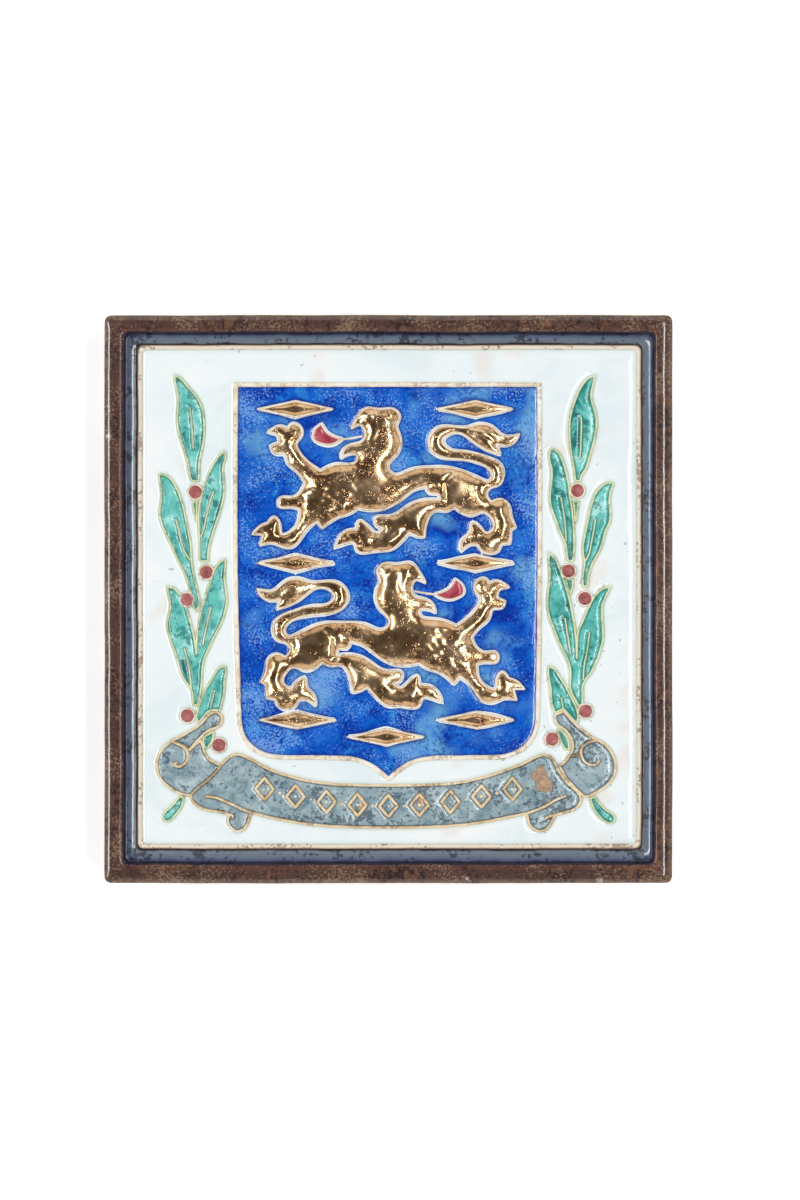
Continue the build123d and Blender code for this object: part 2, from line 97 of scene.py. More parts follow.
def smooth_run(points, spacing):
    """Evenly spaced points on the natural cubic spline through the given ones, last point left out."""
    gaps = np.hypot(*np.diff(points, axis=0).T)
    t = np.concatenate([[0], np.cumsum(gaps)])
    steps = max(2, math.ceil(t[-1] / spacing))
    places = np.linspace(0, t[-1], steps + 1)[:-1]
    if len(points) == 2:
        return points[0] + (points[1] - points[0]) * (places / t[-1])[:, None]
    n = len(points)
    system = np.eye(n)
    right = np.zeros((n, 2))
    for i in range(1, n - 1):
        system[i, i - 1:i + 2] = gaps[i - 1], 2 * (gaps[i - 1] + gaps[i]), gaps[i]
        right[i] = 6 * ((points[i + 1] - points[i]) / gaps[i] - (points[i] - points[i - 1]) / gaps[i - 1])
    bend = np.linalg.solve(system, right)
    k = np.clip(np.searchsorted(t, places, side="right") - 1, 0, n - 2)
    h = gaps[k][:, None]
    a = (t[k + 1] - places)[:, None] / h
    b = 1 - a
    return (a * points[k] + b * points[k + 1]
            + ((a ** 3 - a) * bend[k] + (b ** 3 - b) * bend[k + 1]) * h ** 2 / 6)


def stroke(points, spacing=0.3):
    """An open line through grid points, in millimetres."""
    xy = grid(points)
    last = len(points) - 1
    corners = [0] + [i for i, p in enumerate(points) if len(p) == 3 and 0 < i < last] + [last]
    runs = [smooth_run(xy[a:b + 1], spacing) for a, b in zip(corners, corners[1:])]
    return np.vstack(runs + [xy[-1:]])


def outline(points, spacing=0.3):
    """A closed line through grid points, in millimetres; its last point isn't repeated."""
    corners = [i for i, p in enumerate(points) if len(p) == 3]
    if not corners:
        wrapped = grid(points[-3:] + points + points[:4])
        line = smooth_run(wrapped, spacing)
        first, last = (np.argmin(np.hypot(*(line - wrapped[i]).T)) for i in (3, len(points) + 3))
        return line[first:last]
    turned = points[corners[0]:] + points[:corners[0] + 1]
    xy = grid(turned)
    marks = [i for i, p in enumerate(turned) if len(p) == 3]
    return np.vstack([smooth_run(xy[a:b + 1], spacing) for a, b in zip(marks, marks[1:])])


def beside(line, distance, closed=True):
    """The same line moved sideways: each point stands off along its own normal."""
    if closed:
        along = np.roll(line, -1, axis=0) - np.roll(line, 1, axis=0)
    else:
        along = np.gradient(line, axis=0)
    along /= np.maximum(np.hypot(*along.T), 1e-9)[:, None]
    return line + np.stack([-along[:, 1], along[:, 0]], axis=1) * np.asarray(distance).reshape(-1, 1)


def rounded_square(half, radius, spacing=0.4, centre=SHIFT):
    """A square with rounded corners, as one closed line."""
    line = []
    for quarter in range(4):
        turn = quarter * math.pi / 2
        c, s = math.cos(turn), math.sin(turn)
        flat = half - radius
        side = [(half, y) for y in np.arange(-flat, flat, spacing)]
        arc = [(flat + radius * math.cos(a), flat + radius * math.sin(a))
               for a in np.arange(0, math.pi / 2, 0.15)]
        line += [(c * x - s * y + centre[0], s * x + c * y + centre[1]) for x, y in side + arc]
    return np.array(line)


print("a test circle of 4 points becomes", len(outline([(10, 0), (0, 10), (-10, 0), (0, -10)])), "points")

# %% [markdown]
# ## The drawing
#
# These are the shapes of the picture: two walking lions, the shield, small gold lozenges, two leafy
# branches and a ribbon. The points were chosen one by one, only as many as each shape needs. They could be
# traced by a program, but a few chosen points on a spline give the calm line of a hand. The lower lion is
# the same lion turned round, so the two pass each other.

# %% The lion
LION = [
    (-22, 191), (-30, 183), (-37, 171, 1), (-27, 174), (-23, 167), (-26, 158), (-36, 155), (-43, 151),
    (-47, 142, 1), (-39, 145), (-31, 144), (-32, 138), (-42, 135), (-54, 134), (-68, 128, 1), (-80, 137),
    (-89, 147), (-92, 156), (-87, 164), (-89, 173), (-97, 175), (-100, 170, 1), (-108, 173), (-120, 167, 1),
    (-110, 163), (-109, 156, 1), (-117, 153, 1), (-113, 146), (-104, 145), (-101, 138), (-92, 128),
    (-83, 117, 1), (-87, 108), (-97, 102), (-108, 101), (-109, 93), (-99, 92), (-88, 90, 1), (-89, 80),
    (-97, 68), (-107, 65), (-109, 76), (-114, 82), (-120, 76, 1), (-128, 73), (-136, 65, 1), (-125, 65, 1),
    (-128, 54, 1), (-116, 56), (-104, 52), (-95, 53), (-84, 67), (-71, 78, 1), (-66, 71, 1), (-52, 81),
    (-38, 86), (-31, 91, 1), (-12, 89), (8, 96), (24, 108), (38, 113, 1), (42, 106), (50, 105), (52, 99, 1),
    (36, 99), (16, 91), (0, 83), (-13, 81), (-12, 74), (-4, 71, 1), (-12, 66), (-21, 73), (-29, 78),
    (-31, 69, 1), (-42, 68), (-49, 62), (-53, 52, 1), (-42, 56), (-34, 56), (-31, 49), (-12, 48), (2, 49),
    (12, 57), (21, 67, 1), (29, 63), (36, 62, 1), (38, 76), (48, 89), (57, 88), (66, 92, 1), (74, 86),
    (84, 84), (95, 87), (103, 81), (105, 70), (98, 66), (91, 73), (84, 76), (82, 68), (75, 59), (73, 49, 1),
    (83, 55), (90, 54, 1), (94, 48), (108, 47), (113, 55, 1), (121, 56, 1), (122, 70, 1), (127, 72, 1),
    (122, 84), (119, 96), (112, 100), (103, 97, 1), (98, 105), (102, 111), (110, 114), (115, 124),
    (112, 134), (96, 143), (76, 148), (59, 151), (54, 158), (60, 165), (74, 165), (84, 158), (96, 150),
    (111, 145, 1), (108, 155, 1), (120, 154), (127, 158), (131, 165, 1), (114, 164), (104, 172), (90, 175),
    (78, 172), (62, 173), (48, 170), (41, 160), (44, 148), (58, 141), (78, 139), (93, 135), (101, 130),
    (104, 123), (100, 117, 1), (87, 122), (68, 130), (46, 132), (22, 129), (4, 125), (-1, 132), (7, 144),
    (12, 155), (11, 165), (8, 174), (11, 183), (5, 190), (-9, 190),
]
LION_TONGUE = [
    (-67, 175, 1), (-74, 169), (-75, 161), (-68, 156), (-57, 155), (-46, 160, 1), (-56, 163), (-63, 168),
]
TONGUE_ROOT = [(-46, 160), (-36, 161), (-26, 163)]
LOWER_LION_DROP = 155

# Strokes pressed into the gold: a line, how wide in mm, how deep in mm
LION_STROKES = [
    ([(-36, 165), (-29, 166), (-24, 169)], 0.22, 0.16),  # mouth
    ([(-30, 178), (-24, 181), (-18, 180)], 0.2, 0.12),  # brow
    ([(-10, 188), (-14, 180), (-12, 170), (-16, 160)], 0.3, 0.1),  # cheek
    ([(-3, 186), (2, 180), (9, 181)], 0.25, 0.14),  # ear
    ([(-40, 147), (-30, 148), (-20, 152)], 0.22, 0.12),
    ([(-86, 109), (-76, 112), (-66, 108), (-58, 111)], 0.28, 0.13),  # locks of the mane
    ([(-78, 98), (-66, 97), (-58, 100), (-48, 97)], 0.28, 0.13),
    ([(-70, 121), (-60, 119), (-50, 123)], 0.28, 0.1),
    ([(56, 96), (52, 107), (55, 117), (62, 124)], 0.35, 0.17),  # haunch
    ([(38, 113), (46, 117), (53, 114), (55, 104)], 0.28, 0.12),
    ([(96, 100), (92, 107), (94, 115)], 0.28, 0.12),
    ([(-104, 160), (-99, 163), (-96, 168)], 0.18, 0.1),  # toes of the raised paw
    ([(-106, 153), (-99, 156), (-95, 160)], 0.18, 0.1),
    ([(-122, 69), (-114, 68), (-108, 62)], 0.18, 0.1),  # toes of the lower fore paw
    ([(-117, 60), (-110, 60), (-104, 57)], 0.18, 0.1),
    ([(-44, 61), (-36, 62), (-29, 61)], 0.18, 0.1),  # toes of the middle paw
    ([(-30, 54), (-22, 55), (-15, 58)], 0.18, 0.1),
    ([(79, 60), (86, 61), (91, 58)], 0.18, 0.1),  # toes of the hind paw
    ([(90, 62), (97, 57), (104, 54)], 0.18, 0.1),
    ([(84, 166), (96, 162), (107, 152)], 0.22, 0.11),  # tail tuft
    ([(84, 170), (98, 167), (112, 160), (122, 161)], 0.22, 0.11),
    ([(8, 66), (2, 62), (-8, 62)], 0.25, 0.1),
]
# Swellings of the gold: centre, radius in mm, height in mm
LION_SWELLINGS = [
    ((-68, 108), 1.9, 0.25), ((-40, 116), 2.4, 0.28), ((66, 108), 3.0, 0.3), ((0, 165), 2.2, 0.22),
    ((-6, 183), 1.1, 0.18), ((-20, 184), 0.7, 0.15), ((-76, 96), 1.2, 0.2), ((-60, 90), 1.1, 0.2),
    ((-18, 112), 2.6, 0.15), ((30, 76), 2.0, 0.15), ((111, 88), 1.2, 0.15), ((92, 165), 1.3, 0.2),
    ((-70, 122), 1.0, 0.16), ((-46, 92), 1.1, 0.18), ((-103, 60), 0.9, 0.15), ((-22, 58), 1.0, 0.15),
    ((98, 55), 1.0, 0.15), ((-93, 166), 0.8, 0.12), ((16, 62), 1.2, 0.12),
]
# Where the gold is rough like a mane: centre, radius in mm
LION_MANE = [((-74, 103), 2.6), ((-58, 112), 2.4), ((-52, 94), 2.6), ((-38, 108), 2.4), ((-92, 66), 1.6),
             ((-84, 88), 1.8)]


def lowered(points):
    """The lower lion's drawing: turned to the right and moved down."""
    return [(-p[0], p[1] - LOWER_LION_DROP, *p[2:]) for p in points]


lions = {"upper": outline(LION, 0.2), "lower": outline(lowered(LION), 0.2)}
print("the lion's outline has", len(lions["upper"]), "points, its gold", len(LION_STROKES), "pressed strokes")

# %% [markdown]
# ### Shield and lozenges
#
# The shield is nearly straight above and curls in to a small point below. A lozenge needs only a centre and
# two half sizes, so one function draws them all, the gold ones here and the clay ones on the ribbon.

# %% Shield and lozenges
SHIELD_LEFT = -152.5
SHIELD_RIGHT = 151
SHIELD_TOP = 214.5
SHIELD_SHOULDER = -112
SHIELD_FOOT = [(149.5, SHIELD_SHOULDER), (147, -132), (137, -147.5), (120, -156.3), (94, -158.3),
               (54, -158.8), (33.5, -160.3), (22.3, -164), (11.5, -170.5), (0, -180)]
LOZENGES = [(-93, 190), (87, 190), (-93, 36), (87, 36), (-91, -121), (88, -121), (-2, -138)]
LOZENGE_HALF_LENGTH = 37
LOZENGE_HALF_HEIGHT = 8


def lozenge(centre, half_length, half_height):
    """Grid points of an upright lozenge, all four corners sharp."""
    u, v = centre
    return [(u - half_length, v, 1), (u, v + half_height, 1), (u + half_length, v, 1),
            (u, v - half_height, 1)]


right_foot = stroke(SHIELD_FOOT)
left_foot = right_foot[::-1] * (-1, 1)
top_line = stroke([(-SHIELD_FOOT[0][0], SHIELD_SHOULDER), (SHIELD_LEFT, 0), (SHIELD_LEFT, SHIELD_TOP, 1),
                   (SHIELD_RIGHT, SHIELD_TOP, 1), (SHIELD_RIGHT, 0), SHIELD_FOOT[0]])
shield = np.vstack([top_line[:-1], right_foot[:-1], left_foot[:-1]])
lozenges = [outline(lozenge(c, LOZENGE_HALF_LENGTH, LOZENGE_HALF_HEIGHT), 0.25) for c in LOZENGES]
tongues = [outline(LION_TONGUE, 0.2), outline(lowered(LION_TONGUE), 0.2)]
print("the shield is", round((SHIELD_RIGHT - SHIELD_LEFT) * STEP, 2), "mm wide")

# %% [markdown]
# ### Branches
#
# Each branch is a row of leaves that grow into one another, so it has no stalk of its own. Every leaf is
# one closed line, its vein an open one, and the berries are circles in the forks.

# %% Branches
LEAVES = [
    [(-214, 223.5, 1), (-213, 215), (-211, 206), (-210.2, 197), (-210.8, 187), (-211, 177), (-209.7, 167),
     (-206.8, 157), (-203.2, 147), (-200.5, 137), (-198.7, 127), (-197, 118.5, 1), (-190, 118.5, 1),
     (-189.7, 128), (-189, 138), (-187, 148), (-185, 158), (-184.3, 168), (-184.5, 179), (-186, 189),
     (-190, 199), (-196, 207), (-203, 215), (-208.5, 221)],
    [(-195.7, 97, 1), (-191.8, 97, 1), (-191.8, 85), (-191.5, 77, 1), (-194, 86)],
    [(-163.5, 147.5, 1), (-168, 144.5), (-173, 138), (-178, 129), (-182.5, 118), (-186, 107),
     (-188.5, 96), (-189.7, 85), (-189.7, 74), (-189, 62), (-188.7, 50), (-188.5, 38, 1), (-180.5, 38, 1),
     (-180.3, 48), (-178, 59), (-174.5, 70), (-170.5, 82), (-166.8, 94), (-164.7, 105), (-164.7, 116),
     (-165.5, 126), (-164.8, 135), (-163, 141)],
    [(-229.5, 124.5, 1), (-228.5, 117), (-227, 109), (-226.7, 101), (-228.3, 92), (-228.7, 83),
     (-226, 74), (-222, 65), (-218, 56), (-213.5, 46), (-209.5, 37), (-205, 28.5), (-201.5, 20),
     (-199, 11), (-196.8, 2), (-195, -6), (-192, -12, 1), (-189.3, -5), (-190, 3), (-192, 12),
     (-194.5, 22), (-196.3, 32), (-197, 43), (-198, 54), (-199.7, 65), (-202, 77), (-204.8, 89),
     (-208, 101), (-211.5, 110), (-216, 117.5), (-222, 123.5)],
    [(-221, 12, 1), (-220, 5), (-218, -3), (-218, -10), (-220, -18), (-221, -27), (-219.5, -35),
     (-216.5, -44), (-213, -54), (-210, -64), (-207.5, -73), (-204, -80.5), (-200, -86.5), (-197, -91),
     (-195.5, -98), (-195, -106, 1), (-190.5, -105.5, 1), (-188.5, -96), (-187, -86), (-186.5, -75),
     (-185.5, -65), (-182.5, -55), (-178, -45), (-173, -35), (-168, -25), (-164, -14), (-162, -4),
     (-162.3, 6), (-163.8, 16), (-163.8, 26), (-163, 34), (-163.5, 39.5, 1), (-168, 37), (-173, 30.5),
     (-177, 21), (-180.5, 11), (-183.5, 1), (-186.5, -9), (-188.7, -19), (-190.5, -30), (-191.8, -42),
     (-192.2, -56, 1), (-193.5, -44), (-195.5, -34), (-198, -24), (-200.5, -15), (-203.5, -6), (-207, 2),
     (-211.5, 8), (-216, 11.5)],
    [(-163.5, -67, 1), (-168, -68.5), (-173, -74), (-177.5, -81.5), (-181.5, -88), (-185, -95),
     (-188, -103), (-190.5, -111), (-192, -118), (-190.5, -123.5, 1), (-186, -119), (-181.5, -113.5),
     (-178, -111, 1), (-168.5, -111, 1), (-167, -104), (-165, -97), (-164.3, -88), (-164, -80),
     (-162.8, -73)],
    [(-175, -132, 1), (-180, -135.3), (-184.5, -139), (-185, -144), (-182.5, -149.5, 1), (-179, -146),
     (-176.5, -141), (-175, -136)],
    [(-205, -198, 1), (-209, -197.5, 1), (-213, -203), (-218, -208.5), (-223.5, -213), (-225.5, -217.5),
     (-224, -221.5), (-220, -222), (-215.5, -218.5), (-210.5, -212.5), (-206.5, -206)],
    [(206.5, 223.5, 1), (201, 221.5), (195.5, 216), (190.5, 208), (186.5, 198), (183.3, 188),
     (181.5, 178), (181, 168), (181.5, 158), (182.8, 148), (184.5, 138), (186, 128), (187, 118.5, 1),
     (191.5, 118.5, 1), (193, 124), (196.5, 129), (199.3, 136), (201.5, 144), (204, 153), (206.3, 162),
     (207.8, 171), (207.8, 180), (206, 189), (203.5, 197), (202.6, 205), (204.2, 213)],
    [(184.6, 97.5, 1), (190, 97.5, 1), (188.9, 88), (187, 77, 1), (186.3, 87)],
    [(162.5, 150.5, 1), (161, 144), (162.3, 135), (163.4, 126), (163, 117), (162, 108), (161.7, 99),
     (163.5, 90), (167, 81), (170.5, 71), (173.8, 63), (177, 56), (178.2, 47), (179.5, 38.5, 1),
     (184.5, 38.5, 1), (185.5, 50), (185.5, 62), (185, 74), (184, 86), (182, 98), (181, 108),
     (179.5, 119), (176.5, 131), (172.5, 142), (168, 148)],
    [(225, 116, 1), (218.5, 116), (212, 111.5), (207, 105), (203.5, 96), (201, 86), (199, 76), (197, 66),
     (195, 56), (194.5, 47), (196, 38), (195.2, 29), (194.5, 21), (194.5, 13, 1), (199, 13, 1),
     (199.7, 21), (201.5, 29), (204.5, 37), (208.5, 44), (212.3, 52), (214.8, 60), (217, 68), (220.5, 75),
     (221.8, 83), (221.3, 92), (221, 100), (222.3, 108)],
    [(177.5, 19.5, 1), (184.3, 19.5, 1), (183.8, 12), (181.8, 5.5, 1), (179.5, 12)],
    [(160.5, 46.5, 1), (160.5, 38), (161.5, 28), (161.3, 18), (159.8, 8), (159, -3), (160, -13),
     (163, -23), (166.5, -32), (170.5, -42), (175, -52), (179, -60), (181.8, -69), (182.3, -78),
     (181.8, -87), (184, -95), (187.5, -102), (190, -107, 1), (193.7, -105, 1), (194, -95), (194.3, -86),
     (197.5, -80), (202, -74), (206.5, -65), (210.5, -56), (213.3, -46), (214.5, -36), (214, -26),
     (213.3, -16), (213.7, -7), (216, 0), (219, 6), (222, 12.5, 1), (215.5, 10.8), (209.5, 6.5),
     (204.5, 0), (200.5, -8), (197, -16), (193.5, -24), (190.2, -32), (188.9, -42), (188.4, -60, 1),
     (188, -46), (187.2, -36), (185.6, -25), (183.5, -13), (181.1, -1), (178, 10), (174.5, 21),
     (170.5, 32), (166, 41)],
    [(160.5, -67.5, 1), (159.8, -74), (161, -82), (162.5, -90), (163, -99), (164.3, -107),
     (166.5, -113.5, 1), (175, -109.5, 1), (180, -115), (184.5, -120), (188.5, -124, 1), (189.5, -117),
     (188.3, -110), (185.3, -103), (181.8, -96), (178, -89), (174, -82), (169.5, -75), (165, -69.5)],
    [(169.5, -130.5, 1), (174, -133), (178, -138.5), (180.3, -145), (180.5, -151, 1), (176.8, -149.5),
     (173.8, -144.5), (171.5, -138.5)],
    [(202, -199.5, 1), (206.5, -197.5, 1), (209.5, -202.5), (214, -208), (219.5, -212.5), (225, -216.5),
     (226, -221), (222.5, -224), (217, -222.5), (211, -217), (206, -210)],
]
VEINS = [
    [(-195, 150), (-195.7, 162), (-196.5, 173), (-197.5, 183), (-198.5, 192)],
    [(-187.5, 62), (-184.5, 70), (-182.5, 80), (-180, 90), (-177.5, 100), (-175, 108)],
    [(-198, 39), (-202, 44), (-205.5, 52), (-208, 61), (-210, 71), (-212.5, 80)],
    [(-197, -89), (-198, -78), (-199.5, -68), (-201.5, -58), (-204, -49)],
    [(-185.5, -46), (-184, -37), (-182, -28), (-180, -18), (-177.5, -8)],
    [(-178, -109), (-176.5, -103), (-175, -97), (-173.5, -91)],
    [(191.5, 141), (192.3, 151), (192.6, 161), (193, 172), (192.7, 182)],
    [(177.8, 58), (177.3, 68), (176.3, 79), (174.5, 90), (172.5, 102)],
    [(197, 38), (200.5, 45), (202.5, 53), (204, 62), (205.7, 71), (207, 80)],
    [(182, -55), (180.8, -46), (179.5, -37), (178, -28), (176.5, -19)],
    [(195, -81), (195.3, -70), (197, -60), (199, -50), (200.3, -41), (201, -33)],
    [(175, -109), (173.8, -104), (172.8, -98)],
]
BERRIES = [
    (-193, 107), (-182, 27), (-201.5, -0.5), (-201, -116.5), (-169.5, -146),
    (189, 108.5), (180, 28), (196.5, 0.5), (197, -112), (163.7, -140),
]
BERRY_RADIUS = 7.2


def circle(centre, radius, steps=24):
    """A circle round a grid point, its radius in millimetres."""
    a = np.arange(steps) * 2 * math.pi / steps
    return grid([centre]) + radius * np.stack([np.cos(a), np.sin(a)], axis=1)


leaves = [outline(leaf) for leaf in LEAVES]
midribs = [stroke(vein, 0.25) for vein in VEINS]
berry_rings = [circle(c, BERRY_RADIUS * STEP) for c in BERRIES]
print(len(leaves), "leaves and", len(BERRIES), "berries")

# %% [markdown]
# ### Ribbon
#
# The ribbon hangs in a shallow bow under the shield, and each end rolls up behind it. It is drawn as five
# closed shapes that touch: the banner, two rolls and two tails. The curls are open lines inside them. A
# plain row of small lozenges and dots is set along the bow by a formula.

# %% Ribbon
RIBBON_TAILS = [
    [(-217, -142, 1), (-209, -138), (-200, -133), (-191, -127.5), (-184, -121), (-179, -115.5),
     (-174.5, -113), (-169.5, -114), (-166.5, -118.5), (-167.5, -124), (-171.5, -128), (-178, -130.5),
     (-184, -134.5), (-190, -140.5), (-195, -146), (-199, -151, 1), (-203.5, -147.5), (-210, -144.5)],
    [(166.5, -116, 1), (171, -114), (175.5, -112, 1), (181, -118.5), (187, -125), (193.5, -131),
     (201, -136.5), (208.5, -141, 1), (201, -142.5), (196, -145.5), (192.5, -151, 1), (189, -156),
     (181, -156.5, 1), (184, -151), (184.7, -145), (183, -139.5), (180, -134.5), (175.5, -129.7),
     (170, -126), (167, -121)],
]
RIBBON_ROLLS = [
    [(-217, -142, 1), (-223, -147), (-228.5, -154), (-231, -162), (-231, -170), (-228.5, -178),
     (-224, -184), (-217.5, -189), (-211, -193), (-205, -195.5), (-197.5, -196, 1), (-193.5, -191.5),
     (-188.5, -187), (-182, -182), (-176, -176.5), (-171, -171), (-167.5, -166, 1), (-173, -164),
     (-179, -160.5), (-183, -155.5), (-185, -149.5), (-187.5, -141.5, 1), (-193, -145.5), (-199, -151, 1),
     (-203.5, -147.5), (-210, -144.5)],
    [(208.5, -141, 1), (214, -144), (220, -149.5), (224.5, -156.5), (226.8, -164), (226.8, -171),
     (224.5, -178), (220, -184.5), (214, -189.5), (207, -193.5), (201.5, -196.5), (195.5, -197, 1),
     (190, -192), (184, -186), (178, -179), (174, -172.5), (171, -166.5, 1), (177, -162.5),
     (181, -156.5, 1), (189, -156), (192.5, -151, 1), (196, -145.5), (201, -142.5)],
]
BANNER = [
    (-197.5, -196, 1), (-193.5, -191.5), (-188.5, -187), (-182, -182), (-176, -176.5), (-171, -171),
    (-167.5, -166, 1), (-160, -158.7), (-153, -155.5), (-145, -157), (-125, -167.5), (-103, -176),
    (-80, -182), (-34, -186), (34, -186), (80, -182), (103, -176), (125, -168.5), (140, -162), (150, -157),
    (158, -156.3), (163.5, -159.5), (167.5, -166, 1), (170.5, -172.5), (175, -179), (180, -185),
    (186.5, -190.5), (191.5, -196, 1), (192, -202), (189.5, -207), (184, -211), (176, -213.3),
    (167, -216, 1), (164, -221), (160.5, -227), (154.5, -231.5), (147.5, -231), (142, -226.5),
    (139.5, -220), (139, -214, 1), (115, -219), (94, -223), (65, -226.5), (34, -228), (-34, -228),
    (-65, -226.5), (-94, -223), (-115, -219), (-138, -213, 1), (-139, -218), (-141, -224), (-145, -230),
    (-151, -232.5), (-157, -229), (-160.5, -223), (-159, -215.5, 1), (-166, -213.5), (-175, -212),
    (-185, -210), (-192.5, -205.5), (-197, -200),
]
CURLS = [
    [(-217, -142), (-211, -144.5), (-205, -147.8), (-201.3, -152.5), (-200.6, -158), (-202.5, -163.5),
     (-207, -167), (-212, -167.3), (-214.5, -165.3), (-211, -163.8)],
    [(208.5, -141), (202, -142.5), (196.3, -145.5), (193, -150.5), (193, -156), (195.3, -161.3),
     (200, -165), (205, -166), (209.3, -163.7), (211, -160)],
    [(-138, -213), (-145, -210.7), (-152, -207.5), (-160, -203.7), (-168, -200.3), (-176, -198),
     (-183, -197.2)],
    [(139, -214), (147, -211.3), (155, -208), (163, -203.5), (170, -199.7), (178, -197)],
    [(-159, -215.5), (-156, -216.5), (-155.5, -219)],
    [(167, -216), (160, -217.7), (156.5, -220)],
]
ORNAMENT_COUNT = 9
ORNAMENT_HALF_LENGTH = 9
ORNAMENT_HALF_HEIGHT = 11
ORNAMENT_SPACING = 31
BANNER_MIDDLE = -207
BANNER_BOW = 17

ribbon_parts = {"banner": [outline(BANNER)], "tails": [outline(t) for t in RIBBON_TAILS],
                "rolls": [outline(r) for r in RIBBON_ROLLS]}
curls = [stroke(c, 0.25) for c in CURLS]
reach = (ORNAMENT_COUNT - 1) / 2 * ORNAMENT_SPACING
ornament_centres = []
for i in range(2 * ORNAMENT_COUNT - 1):
    u = i * ORNAMENT_SPACING / 2 - reach
    ornament_centres.append((u, BANNER_MIDDLE + BANNER_BOW * (u / reach) ** 2))
ornaments = [outline(lozenge(c, ORNAMENT_HALF_LENGTH, ORNAMENT_HALF_HEIGHT), 0.25)
             for c in ornament_centres[::2]]
print("the ribbon has", sum(len(v) for v in ribbon_parts.values()), "parts and", len(ornaments), "ornaments")

# %% [markdown]
# ## Shader parts
#
# A glaze is never one flat colour. It gathers in pools, thins over edges and holds tiny grains and pits.
# Two effects come back in nearly every glaze here, so each is a node group: `mottle` blends three colours
# in soft clouds, and `speckle` gives a mask of grains. Every material places them with its own values.

# %% Node helpers
FLOAT, COLOR, VECTOR = "NodeSocketFloat", "NodeSocketColor", "NodeSocketVector"
WHOLE, MATERIAL, GEOMETRY = "NodeSocketInt", "NodeSocketMaterial", "NodeSocketGeometry"


def srgb(r, g, b):
    """A colour read off a screen, 0 to 255, as the linear colour that Blender works in."""
    c = np.array([r, g, b], float) / 255
    linear = np.where(c <= 0.04045, c / 12.92, ((c + 0.055) / 1.055) ** 2.4)
    return (*linear, 1.0)


def fill(tree, node, values):
    """Fills a node's sockets with numbers or links."""
    for key, value in values.items():
        if isinstance(value, bpy.types.NodeSocket):
            tree.links.new(value, node.inputs[key])
        else:
            node.inputs[key].default_value = value


def put(tree, kind, values=None, **settings):
    """Adds a node, sets its options, then fills its sockets."""
    node = tree.nodes.new(kind)
    for key, value in settings.items():
        setattr(node, key, value)
    fill(tree, node, values or {})
    return node


def calc(tree, operation, *values):
    """A Math node. Its sockets share one name, so its two or three values go in by place."""
    return put(tree, "ShaderNodeMath", dict(enumerate(values)), operation=operation).outputs[0]


def vector_calc(tree, operation, first, second):
    """The same for vectors. SCALE takes its number in a socket of its own, DISTANCE gives a number."""
    socket = "Scale" if operation == "SCALE" else 1
    node = put(tree, "ShaderNodeVectorMath", {0: first, socket: second}, operation=operation)
    return node.outputs["Value" if operation == "DISTANCE" else "Vector"]


def noise(tree, where, scale, detail, **values):
    """Cloudy noise. A value for W picks another pattern, as a seed does."""
    dimensions = "4D" if "W" in values else "3D"
    return put(tree, "ShaderNodeTexNoise", {"Vector": where, "Scale": scale, "Detail": detail, **values},
               noise_dimensions=dimensions).outputs


def mixed(tree, factor, first, second):
    """A colour between two others. The numbered sockets are the Mix node's colour ones."""
    return put(tree, "ShaderNodeMix", {0: factor, 6: first, 7: second}, data_type="RGBA").outputs[2]


def ranged(tree, value, low, high, to_low=0.0, to_high=1.0, kind="SMOOTHSTEP"):
    """A value carried from one range into another, softly or, with LINEAR, evenly."""
    return put(tree, "ShaderNodeMapRange", {"Value": value, "From Min": low, "From Max": high,
                                            "To Min": to_low, "To Max": to_high},
               interpolation_type=kind).outputs["Result"]


def new_tree(name, kind, inputs, outputs):
    """An empty tree with named sockets. Gives the tree, what comes in and what goes out."""
    tree = bpy.data.node_groups.new(name, kind)
    for socket, socket_kind, value in inputs:
        item = tree.interface.new_socket(socket, in_out="INPUT", socket_type=socket_kind)
        if value is not None:
            item.default_value = value
    for socket, socket_kind in outputs:
        tree.interface.new_socket(socket, in_out="OUTPUT", socket_type=socket_kind)
    return tree, tree.nodes.new("NodeGroupInput").outputs, tree.nodes.new("NodeGroupOutput").inputs


print("cream clay in linear light is", [round(c, 3) for c in srgb(238, 226, 204)[:3]])

# %% Shared effects
mottle, given, result = new_tree(
    "mottle", "ShaderNodeTree",
    [("Vector", VECTOR, None), ("Scale", FLOAT, 100.0), ("Dark", COLOR, None), ("Middle", COLOR, None),
     ("Light", COLOR, None), ("Distortion", FLOAT, 0.4)],
    [("Color", COLOR), ("Cloud", FLOAT)])
cloud = noise(mottle, given["Vector"], given["Scale"], 5.0, Roughness=0.6,
              Distortion=given["Distortion"])["Fac"]
lower = mixed(mottle, ranged(mottle, cloud, 0.32, 0.52), given["Dark"], given["Middle"])
upper = mixed(mottle, ranged(mottle, cloud, 0.5, 0.68), lower, given["Light"])
mottle.links.new(upper, result["Color"])
mottle.links.new(cloud, result["Cloud"])

speckle, given, result = new_tree(
    "speckle", "ShaderNodeTree",
    [("Vector", VECTOR, None), ("Scale", FLOAT, 900.0), ("Least", FLOAT, 0.6), ("Most", FLOAT, 0.7),
     ("Patches", FLOAT, 120.0), ("Patchiness", FLOAT, 0.5)],
    [("Mask", FLOAT)])
grains = noise(speckle, given["Vector"], given["Scale"], 2.0, Roughness=0.55)["Fac"]
patches = noise(speckle, given["Vector"], given["Patches"], 2.0)["Fac"]
centred = calc(speckle, "SUBTRACT", patches, 0.5)
weighed = calc(speckle, "MULTIPLY", centred, given["Patchiness"])
summed = calc(speckle, "ADD", grains, weighed)
speckle.links.new(ranged(speckle, summed, given["Least"], given["Most"]), result["Mask"])
print("shared effects:", mottle.name, "and", speckle.name)

